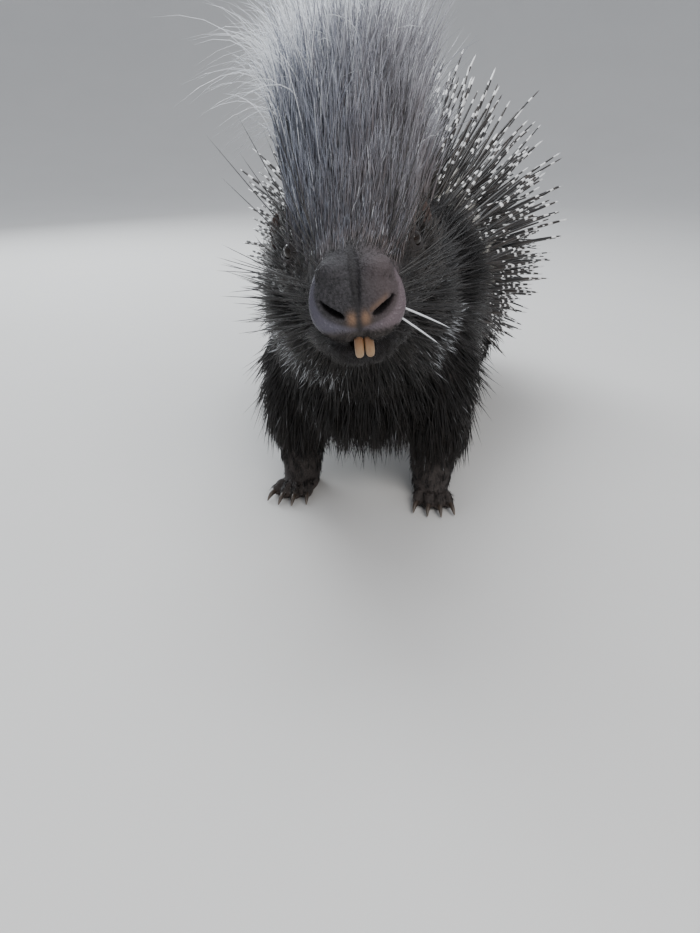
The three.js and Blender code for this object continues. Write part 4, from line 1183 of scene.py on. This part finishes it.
SKIN_PAINT, EYE_PAINT, TOOTH_PAINT, CLAW_PAINT = skin_paint(), eye_paint(), tooth_paint(), claw_paint()


# Coat, region by region


def body_of(place):
    return (1 - place.head) * (1 - place.leg) * (1 - place.tail)


HEAD_BACK, BODY = MIDDLES.back, body_of(MIDDLES)
BARE_MIDDLES = BARE[CORNERS].mean(1)
EAR_MIDDLES = MASKS["ear"][CORNERS].mean(1)


def crest_zone(place):
    """How far a point belongs to the crest, from the brow to between the shoulders."""
    less = CREST_LESS_LEFT * ramp(place.x, -10, 30)
    reach = column(HEAD_CREST, place.back, 3) - less * ramp(place.back, 96, 124)
    on_head = place.head * ramp(place.back, 24, 34) * ramp(place.face_down, reach + 5, reach - 5)
    reach = column(NECK_CREST, place.y, 3) - less
    on_neck = (1 - place.head) * ramp(place.y, -68, -84) * ramp(place.down, reach + 4, reach - 6)
    return np.maximum(on_head, on_neck)


def quill_zone(place):
    return body_of(place) * ramp(place.y, -66, -40) * ramp(place.down, QUILL_REACH + 4, QUILL_REACH - 4)


def from_eye(points, ahead):
    """Distance to the nearer eye, or to a place a little ahead of it."""
    away = [points - EYE_CENTRES[side] - head_way(0, -1, 0) * ahead for _, side in SIDES]
    return np.minimum(*[np.linalg.norm(steps, axis=1) for steps in away])


def by_eye(points):
    """Hair is short round the eyes, so that it doesn't cross them."""
    return 0.3 + 0.7 * ramp(from_eye(points, 6), 13, 32)


CREST_AREA = crest_zone(MIDDLES)
QUILL_AREA = quill_zone(MIDDLES)
EYE_CLEAR = ramp(from_eye(MIDDLES.points, 2), 10.5, 13)


def crest_draw(place, k):
    """A column of the crest's tables at each place."""
    head = place.head > 0.5
    return np.where(head, column(HEAD_CREST, place.back, k), column(NECK_CREST, place.y, k))


def make_crest():
    """The crest: fine bristles that stand up from brow to shoulders and fall back at their tips.

    Those on the animal's right whiten first and curl outwards, those on its left stay grey.
    """
    on_brow = MIDDLES.head * ramp(MIDDLES.back, 100, 92)
    behind_brow = 1 - on_brow
    in_middle = (MIDDLES.y >= CREST_FRONT_TO) * (MIDDLES.y < CREST_MIDDLE_TO)
    for name, seed, share_here, count, taper in (
        ("crest_brow", 100, on_brow, 1150, BRISTLE_TAPER),
        ("crest_front", 101, behind_brow * (MIDDLES.y < CREST_FRONT_TO), 1250, LONG_TAPER),
        ("crest_middle", 102, behind_brow * in_middle, 1000, LONG_TAPER),
        ("crest_back", 103, MIDDLES.y >= CREST_MIDDLE_TO, 520, LONG_TAPER),
    ):
        grown = Growth(seed, CREST_AREA * share_here * (1 - EAR_MIDDLES), count)
        place = grown.place
        share = np.clip(np.where(place.head > 0.5, place.across / 40, place.x / 55), -1, 1)
        full = crest_draw(place, 1)
        lean = np.radians(crest_draw(place, 2) + grown.wander(3.5))
        tilt = np.radians(share * (2.5 + 11 * ramp(full, 90, 25)) + grown.wander(2.8) - 1.0)
        way = unit(np.column_stack([np.sin(tilt), np.sin(lean), np.cos(lean)]))
        length = full * (1 - 0.14 * share**2) * grown.vary(0.70, 1.10)
        long = ramp(length, 90, 190)
        curl = grown.chance() ** 2
        right = ramp(-share, -0.45, 0.8)
        outward = 0.34 * np.clip(share, -0.3, 1) * long - 0.8 * right * long * (0.15 + curl)
        bend = np.column_stack([outward, 0.36 + 0.45 * curl, -0.10 - 0.85 * curl**1.5 * long])
        radius = 0.34 + 0.22 * ramp(length, 40, 160)
        values = {
            "pale": 0.02 + long * (0.04 + 0.78 * right),
            "early": 0.24 * right + grown.vary(-0.08, 0.10),
            # Share of the painted bluish skylight reflection, more on the animal's right.
            "sky_sheen": np.clip(0.42 - 0.58 * share + grown.wander(0.2), 0, 1),
            "dim": 0.30 * ramp(length, 60, 16),
        }
        tuft = {"spread": 2.6, "splay": 0.045, "close": 0.2, "curl": 0.22, "late": CREST_LATE, "taper": taper}
        tufted(name, CREST_PAINT, grown, way, bend, length, radius, values, **tuft)


def make_loose_crest():
    """Long white hairs that curl out of the crest and over, most of them on the right."""
    on_head = CREST_AREA * ramp(MIDDLES.y, -296, -306) * ramp(MIDDLES.back, 112, 128)
    on_neck = CREST_AREA * ramp(MIDDLES.y, -300, -290) * ramp(MIDDLES.y, -130, -160)
    area = (on_head + on_neck) * (0.10 + ramp(MIDDLES.x, 10, -36)) * (1 - EAR_MIDDLES)
    grown = Growth(107, area, 430)
    root, place = grown.root, grown.place
    lean = np.radians(crest_draw(place, 2) + grown.wander(5))
    aside = np.radians(grown.wander(5) - 7 * ramp(place.x, 0, -40))
    way = unit(np.column_stack([np.sin(aside), np.sin(lean), np.cos(lean)]))
    outwards = np.where(grown.chance() < 0.86, -1.0, 0.7)
    hook = grown.vary(0.15, 1.0)
    bend = np.column_stack([outwards * (0.5 + 1.0 * hook), grown.wander(0.5), 0.2 - 2.5 * hook])
    length = crest_draw(place, 1) * grown.vary(0.85, 1.25)
    length = kept_in_box(root, way, bend, length, CURL_LATE)
    values = {"draw": 0.4 + grown.chance() * 0.5, "tone": grown.chance(), "pale": np.ones(grown.count)}
    strands(
        "crest_loose", CREST_PAINT, root, way, bend, length, grown.vary(0.42, 0.62),
        CURL_TAPER, 3, HAIR_PATCH, unwrap(place), values, CURL_LATE,
    )


def make_quills():
    """The long banded quills of the back, thickest below their middle."""
    area = QUILL_AREA * (0.5 + ramp(MIDDLES.y, -40, 60))
    grown = Growth(211, area, LONG_QUILLS["count"], LONG_QUILLS["gap"])
    root, normal, place = grown.root, grown.normal, grown.place
    side = np.clip(place.down / QUILL_REACH, 0, 1)
    length = column(QUILL_LENGTH, place.y, 1) * (1 - 0.52 * side**1.2) * grown.vary(0.70, 1.08)
    top, flank, rump = QUILL_RISE.values()
    side_rise = flank + (rump - flank) * ramp(place.y, 60, 220)
    rise = top + (side_rise - top) * side + grown.wander(4)
    backwards = np.tile([0.0, 1.0, 0.0], (grown.count, 1))
    lie = unit(backwards - (backwards * normal).sum(1)[:, None] * normal)
    way = unit(raised(normal, lie, rise) + grown.shake([0.05, 0.0, 0.035]))
    bend = np.array([0.0, 0.05, -0.10]) + grown.shake(0.05)
    length = kept_in_box(root, way, bend, length)
    thick = grown.vary(*LONG_QUILLS["radii"])
    values = {"draw": grown.chance(), "tone": grown.chance()}
    strands(
        "quills_long", LONG_QUILL_PAINT, root, way, bend, length, thick,
        QUILL_TAPER, 6, QUILL_PATCH, unwrap(place), values,
    )


def make_side_quills():
    """Shorter dark quills with white tips, between the long ones and down the flanks."""
    area = BODY * ramp(MIDDLES.y, -110, -60) * ramp(MIDDLES.down, 128, 112) * (1 - CREST_AREA)
    grown = Growth(223, area, SIDE_QUILLS["count"], SIDE_QUILLS["gap"])
    root, normal, place = grown.root, grown.normal, grown.place
    side = np.clip(place.down / QUILL_REACH, 0, 1.3)
    length = (0.42 * column(QUILL_LENGTH, place.y, 1) + 14) * (1.05 - 0.3 * side)
    length = length * grown.vary(0.7, 1.15)
    rise = 50 - 20 * side + grown.wander(6)
    lie = lie_of(root, normal)
    way = unit(raised(normal, lie, rise) + grown.shake(0.06))
    bend = lie * 0.12 + grown.shake(0.05)
    length = kept_in_box(root, way, bend, length)
    values = {"draw": grown.chance(), "tone": grown.chance()}
    strands(
        "quills_short", SIDE_QUILL_PAINT, root, way, bend, length,
        grown.vary(*SIDE_QUILLS["radii"]), SHORT_QUILL_TAPER, 5, QUILL_PATCH, unwrap(place), values,
    )


def make_tail_quills():
    """Short white quills round the tail, thickest near their blunt, closed tips."""
    area = MIDDLES.tail * ramp(MIDDLES.y, 306, 320)
    grown = Growth(227, area, TAIL_QUILLS["count"], TAIL_QUILLS["gap"])
    root, normal = grown.root, grown.normal
    lie = lie_of(root, normal)
    rise = 26 + grown.wander(8)
    way = unit(raised(normal, lie, rise) + grown.shake(0.08))
    bend = lie * 0.1 + grown.shake(0.05)
    length = kept_in_box(root, way, bend, grown.vary(*TAIL_QUILLS["lengths"]))
    values = {"draw": grown.chance(), "tone": grown.chance()}
    strands(
        "quills_tail", TAIL_QUILL_PAINT, root, way, bend, length,
        grown.vary(*TAIL_QUILLS["radii"]), TAIL_QUILL_TAPER, 6, QUILL_PATCH, unwrap(grown.place), values,
    )


# Tips of the collar's white-tipped bristles: x, y and z, and how far they spread
COLLAR = [
    (90, -214, 208, 8), (86, -220, 198, 8), (79, -232, 190, 8), (-74, -258, 210, 9),
    (-68, -262, 199, 9), (-58, -264, 187, 10), (-42, -262, 171, 10), (-22, -270, 169, 8),
]


def collar(root, way, bend, length):
    """The pale streaks low on each side of the neck, by where bristles end."""
    tip = centre_line(root, way, bend, length, np.array([0.85]), 2)[:, 0]
    found = np.zeros(len(root))
    for *place, spread in COLLAR:
        away = ((tip - place) * [1, 0.6, 1]) ** 2
        found = np.maximum(found, np.exp(-away.sum(1) / (2 * spread**2)))
    return np.minimum(found * 1.5, 0.95)


def make_coat():
    """Dark bristles of neck, shoulders, chest, flanks and belly."""
    fore = ramp(MIDDLES.y, -40, -90) * BODY * (1 - CREST_AREA)
    hind = ramp(MIDDLES.y, -110, -60) * BODY * ramp(MIDDLES.down, 84, 100)
    belly = ramp(MIDDLES.down, 138, 156)
    for kind, seed, area, count in (
        ("neck", 301, fore * ramp(MIDDLES.z, 190, 215), 1650),
        ("chest", 302, fore * ramp(MIDDLES.z, 215, 190), 1450),
        ("flank", 303, hind * (1 - belly), 900),
        ("belly", 304, np.maximum(hind, fore * 0.4) * belly, 400),
    ):
        grown = Growth(seed, area, count)
        root, place = grown.root, grown.place
        if kind in ("neck", "chest"):
            beside = ramp(place.down, 82, 44) * ramp(place.y, -90, -150)
            length = 58 - 8 * ramp(place.y, -200, -70) + 30 * beside
            rise = 14 + 6 * ramp(place.y, -190, -260) + 24 * beside + grown.wander(4)
        elif kind == "flank":
            length = 58.0 - 14 * ramp(place.down, 100, 140)
            rise = 26 + grown.wander(5)
        else:
            length = np.full(count, 32.0)
            rise = 22 + grown.wander(5)
        hang = (ramp(place.z, 165, 115) * ramp(place.y, -90, -150) * 0.85)[:, None]
        way, bend = grown.laid(rise, 0.66)
        way = unit(way * (1 - hang) + np.array([0.0, -0.06, -1.0]) * hang)
        bend = bend * (1 - hang)
        values = {"pale": np.maximum(0.02, collar(root, way, bend, length))}
        length = length * grown.vary(0.8, 1.15)
        radius = np.full(count, 0.62 if kind in ("neck", "chest") else 0.8)
        tuft = {"per": 5, "spread": 4.0, "splay": 0.08, "close": 0.45}
        tufted(f"coat_{kind}", COAT_PAINT, grown, way, bend, length, radius, values, **tuft)


def make_ruff():
    """Bristles of cheeks, jaw and throat, which spread from the face."""
    area = MIDDLES.head * ramp(HEAD_BACK, 40, 74) * (1 - CREST_AREA) * (1 - BARE_MIDDLES)
    area = area * (1 - EAR_MIDDLES) * EYE_CLEAR
    grown = Growth(331, area, 1800)
    root, place = grown.root, grown.place
    length = (12 + 40 * ramp(place.back, 50, 130)) * by_eye(root)
    rise = 20 + 6 * ramp(place.back, 60, 120) + grown.wander(5)
    way, bend = grown.laid(rise, 0.6)
    values = {
        "pale": np.maximum(0.015, collar(root, way, bend, length)),
        "dim": 0.45 * ramp(place.up, 6, -40),
    }
    length = length * grown.vary(0.75, 1.2)
    radius = 0.34 + 0.24 * ramp(place.back, 50, 110)
    tuft = {"spread": 2.4, "splay": 0.10, "close": 0.4}
    tufted("ruff", RUFF_PAINT, grown, way, bend, length, radius, values, **tuft)


def make_face():
    """Short hair on the muzzle, lips, chin, brow and round the eyes."""
    chin = ramp(MIDDLES.up, -22, -32) * ramp(HEAD_BACK, 2, 10)
    lip = ramp(MIDDLES.up, -13, -17) * ramp(HEAD_BACK, 30, 18)
    area = MIDDLES.head * ramp(HEAD_BACK, 4, 12) * ramp(HEAD_BACK, 100, 84) * (1 - BARE_MIDDLES)
    area = area * (1 - 0.5 * ramp(HEAD_BACK, 30, 10)) * (1 - 0.5 * CREST_AREA)
    area = area + MIDDLES.head * np.maximum(chin * 1.2, lip * 3.0)
    area = area * ramp(HEAD_BACK, 104, 90) * EYE_CLEAR
    grown = Growth(347, area, 2800)
    place = grown.place
    length = 2.6 + 9.4 * ramp(place.back, 18, 84)
    length = length + 7 * ramp(place.up, -26, -42) * ramp(place.back, 8, 20)
    length = length * by_eye(grown.root)
    way, bend = grown.laid(20 + grown.wander(5), 0.62)
    radius = 0.12 + 0.17 * ramp(place.back, 22, 84)
    tuft = {"spread": 1.2, "splay": 0.14, "close": 0.3, "taper": SHORT_TAPER}
    values = {"pale": np.full(grown.count, 0.03)}
    tufted("face_hair", FACE_PAINT, grown, way, bend, length, radius, values, **tuft)


def make_legs():
    """Short bristly hair of the legs and the tops of the feet."""
    grown = Growth(353, MIDDLES.leg * ramp(MIDDLES.z, 7, 14), 1750)
    upper = ramp(grown.place.z, 24, 100)
    way, bend = grown.laid(20 + grown.wander(5), 0.62)
    length = (7 + 20 * upper) * grown.vary(0.8, 1.15)
    tuft = {"spread": 2.2, "splay": 0.12, "close": 0.4, "taper": SHORT_TAPER}
    values = {"pale": np.full(grown.count, 0.02)}
    tufted("leg_hair", COAT_PAINT, grown, way, bend, length, 0.3 + 0.35 * upper, values, **tuft)


def make_ears():
    """Sparse fine hair on the backs and edges of the ears."""
    grown = Growth(359, EAR_MIDDLES, 260)
    way, bend = grown.laid(30 + grown.wander(8), 0.62)
    length, radius = grown.vary(4, 8), np.full(grown.count, 0.2)
    tuft = {"per": 3, "spread": 1.0, "splay": 0.2, "close": 0.4, "taper": SHORT_TAPER}
    values = {"pale": np.full(grown.count, 0.05)}
    tufted("ear_hair", FACE_PAINT, grown, way, bend, length, radius, values, **tuft)


def whisker_rows(random):
    """Whiskers as side, root in the head's frame, way in it, length and whether white."""
    rows = []
    for side in (1, -1):
        for _ in range(26):
            back, up = 16 + 20 * random.random(), -24 + 40 * random.random()
            way = (side, 0.25 + 0.3 * random.random(), up / 40 + 0.1 * random.normal())
            rows.append((side, back, up, way, 38 + 46 * random.random(), 0.0))
        for k in range(7):
            back, up = 24 + 3.5 * k, 26 + 1.6 * k - 3 * random.random()
            way = (side * (0.75 - 0.1 * k), 0.35 + 0.1 * random.random(), 0.75 + 0.06 * k)
            rows.append((side, back, up, way, 90 + 50 * random.random(), 0.0))
        for back, up, length in ((96, 2, 72), (100, -8, 64)):
            rows.append((side, back, up, (side, 0.4, up / 60), length, 0.0))
    rows.append((1, 17, -6, (1, -0.12, -0.50), 38, 1.0))
    rows.append((1, 18, -13, (1, -0.10, -0.80), 36, 1.0))
    return rows


def make_whiskers():
    """Long stiff whiskers from the muzzle, cheeks and brow. Two on the left are white."""
    random = np.random.default_rng(367)
    starts, ways, bends, lengths, pale = [], [], [], [], []
    for side, back, up, way, length, white in whisker_rows(random):
        _, half, top, bottom = row_at(HEAD, back)
        level = np.clip((up - (top + bottom) / 2) / ((top - bottom) / 2), -0.97, 0.97)
        across = side * half * math.sqrt(1 - level * level) ** FULLNESS
        starts.append(head_points([(across * 0.97, back, up)])[0])
        ways.append(head_way(*way))
        bends.append(head_way(0, 1, 0) * (0.1 if white else 0.4) + np.array([0, 0, -0.1]))
        lengths.append(length)
        pale.append(white)
    root, way, bend = np.array(starts), np.array(ways), np.array(bends)
    length = kept_in_box(root, way, bend, np.array(lengths, float))
    pale = np.array(pale)
    values = {"draw": np.where(pale > 0, 0.0, 0.3), "tone": np.full(len(root), 0.2), "pale": pale}
    strands(
        "whiskers", WHISKER_PAINT, root, way, bend, length, 0.45 + 0.35 * pale,
        LONG_TAPER, 5, HAIR_PATCH, unwrap(Places(root)), values,
    )


# Eyes, teeth and claws


def make_piece(name, parts, paint, nodes, along=None):
    points, faces = merged(parts)
    made = object_of(name, in_row_frame(points), faces)
    if along is not None:
        add_values(made.data, "along", along(points))
    finished(made, paint)
    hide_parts(*nodes)


# Incisor: across from between the two, back, up, half-width and half-thickness
INCISOR = [
    (3.6, 11, -12, 2.9, 2.3), (3.6, 6.5, -20, 3.3, 2.4), (3.7, 5.0, -28, 3.4, 2.3),
    (3.8, 5.2, -33, 3.2, 1.8), (3.9, 5.8, -35.8, 2.4, 1.1), (3.9, 6.1, -36.8, 1.2, 0.5),
]
INCISORS_ASIDE = 2.0  # between the two, from the middle of the head


def make_eyes():
    for name, side in SIDES:
        make_piece(
            f"eyeball_{name}", [ball(np.full(3, EYE_RADIUS), EYE_CENTRES[side], eye_frame(side), 48)],
            EYE_PAINT, [f"eye_{name}"],
        )


def make_teeth():
    for name, side in SIDES:
        rows = [(side * across + INCISORS_ASIDE, *rest) for across, *rest in INCISOR]
        tooth = swept(rows, head_way(1, 0, 0), 26, 20)
        make_piece(
            f"tooth_{name}", [tooth], TOOTH_PAINT, [f"incisor_{name}"],
            lambda points: ramp(head_places(points)[:, 2], -14, -37),
        )


def make_claws():
    """Blunt, slightly curved claws, all of a foot as one piece."""
    for kind, leg in LEGS.items():
        for name, side in SIDES:
            parts, reach = [], []
            for root, way in toe_places(leg, side):
                shape = spline(CLAW, CLAW_STEPS)
                line = root + (CLAW_START + shape[:, :1]) * way + shape[:, 1:2] * UP
                parts.append(tube(line, shape[:, 2:4], np.cross(way, UP), CLAW_SIDES))
                share = np.linspace(0, 1, CLAW_STEPS)
                reach.append(np.concatenate([np.repeat(share, CLAW_SIDES), [0, 1]]))
            nodes = [f"{kind}claw_{name}_{k + 1}" for k in range(leg["toes"])]
            along = np.concatenate(reach)
            make_piece(f"{kind}claws_{name}", parts, CLAW_PAINT, nodes, lambda _: along)


def finish_skin():
    """Moves the skin into the row's frame, with its masks, material and the nodes it stands for."""
    for key, values in MASKS.items():
        add_values(skin.data, key, values)
    add_values(skin.data, "sole", ramp(SKIN_POINTS[:, 2], 12, 4))
    set_points(skin.data, in_row_frame(SKIN_POINTS))
    skin.data.update()
    skin.data.materials.clear()
    finished(skin, SKIN_PAINT)
    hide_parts("head", "neck", "shoulders", "back", "tail")
    for name, _ in SIDES:
        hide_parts(f"ear_{name}")
        for kind in LEGS:
            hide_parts(f"{kind}leg_{name}", f"{kind}foot_{name}")


make_crest()
make_loose_crest()
make_quills()
make_side_quills()
make_tail_quills()
make_coat()
make_ruff()
make_face()
make_legs()
make_ears()
make_whiskers()
make_eyes()
make_teeth()
make_claws()
finish_skin()


# Camera, floor and light

PHOTO = (700, 933)
FOCAL_PIXELS = 750
MUZZLE_PIXEL = (358, 311)
MUZZLE_DISTANCE = 0.525  # metres
CAMERA_AZIMUTH, CAMERA_PITCH = 9, 26  # degrees: round to the animal's left, and down
SENSOR = 36


def make_camera():
    """The photo's viewing angle: near the muzzle, above it and looking down."""
    azimuth, pitch = math.radians(CAMERA_AZIMUTH), math.radians(CAMERA_PITCH)
    right = np.array([math.cos(azimuth), math.sin(azimuth), 0.0])
    level = np.array([-math.sin(azimuth), math.cos(azimuth), 0.0])
    ahead = level * math.cos(pitch) - UP * math.sin(pitch)
    above = np.cross(right, ahead)
    across = (MUZZLE_PIXEL[0] - PHOTO[0] / 2) / FOCAL_PIXELS
    rise = (PHOTO[1] / 2 - MUZZLE_PIXEL[1]) / FOCAL_PIXELS
    ray = unit(ahead + right * across + above * rise)
    muzzle = in_row_frame(head_points([(0, 0, 0)])[0])
    data = bpy.data.cameras.new("camera")
    data.lens = FOCAL_PIXELS * SENSOR / PHOTO[1]
    data.sensor_width = SENSOR
    data.clip_start = 0.02
    camera = linked("camera", data)
    camera.location = muzzle - ray * MUZZLE_DISTANCE
    camera.rotation_mode = "QUATERNION"
    camera.rotation_quaternion = Vector(ahead).to_track_quat("-Z", "Y")
    bpy.context.scene.camera = camera


def make_floor():
    """A flat floor that curves up far away, so that no horizon shows."""
    flat, bowl, sides = 2.6, 3.4, 96
    rings = [(0.02, 0.0), (flat, 0.0)]
    for angle in np.radians(np.arange(6, 91, 6)):
        rings.append((flat + bowl * math.sin(angle), bowl * (1 - math.cos(angle))))
    x, y = np.cos(around(sides)), np.sin(around(sides))
    points = np.vstack([np.column_stack([r * x, r * y, np.full(sides, z)]) for r, z in rings])
    faces = [tuple(range(sides))]
    for i in range(len(rings) - 1):
        faces.extend(between(i + 1, i, sides))
    floor = object_of("floor", points, faces)
    floor.data.polygons.foreach_set("use_smooth", np.ones(len(faces), bool))
    paint = Paint("floor_plain")
    colour = paint.blend(paint.noise(3, 3), (0.60, 0.59, 0.575), (0.64, 0.63, 0.615))
    paint.set(Base_Color=colour, Roughness=0.9, Specular_IOR_Level=0.2)
    floor.data.materials.append(paint.material)


def make_lights():
    world = bpy.data.worlds.new("studio")
    world.use_nodes = True
    background = world.node_tree.nodes["Background"]
    background.inputs["Color"].default_value = (0.86, 0.91, 1.0, 1)
    background.inputs["Strength"].default_value = 0.75
    bpy.context.scene.world = world
    for name, place, aim, power, size, colour in (
        ("key", (0.9, -1.6, 1.7), (0, -0.2, 0.3), 32, 1.2, (1.0, 0.97, 0.93)),
        ("top", (-0.3, 0.5, 2.2), (0, -0.1, 0.3), 42, 1.4, (0.93, 0.97, 1.0)),
        ("rim", (-1.3, 1.3, 1.1), (0, -0.2, 0.4), 26, 0.9, (0.92, 0.97, 1.0)),
    ):
        data = bpy.data.lights.new(name, "AREA")
        data.energy = power
        data.size = size
        data.color = colour
        light = linked(name, data)
        light.location = place
        light.rotation_mode = "QUATERNION"
        light.rotation_quaternion = (Vector(aim) - Vector(place)).to_track_quat("-Z", "Y")


make_camera()
make_floor()
make_lights()
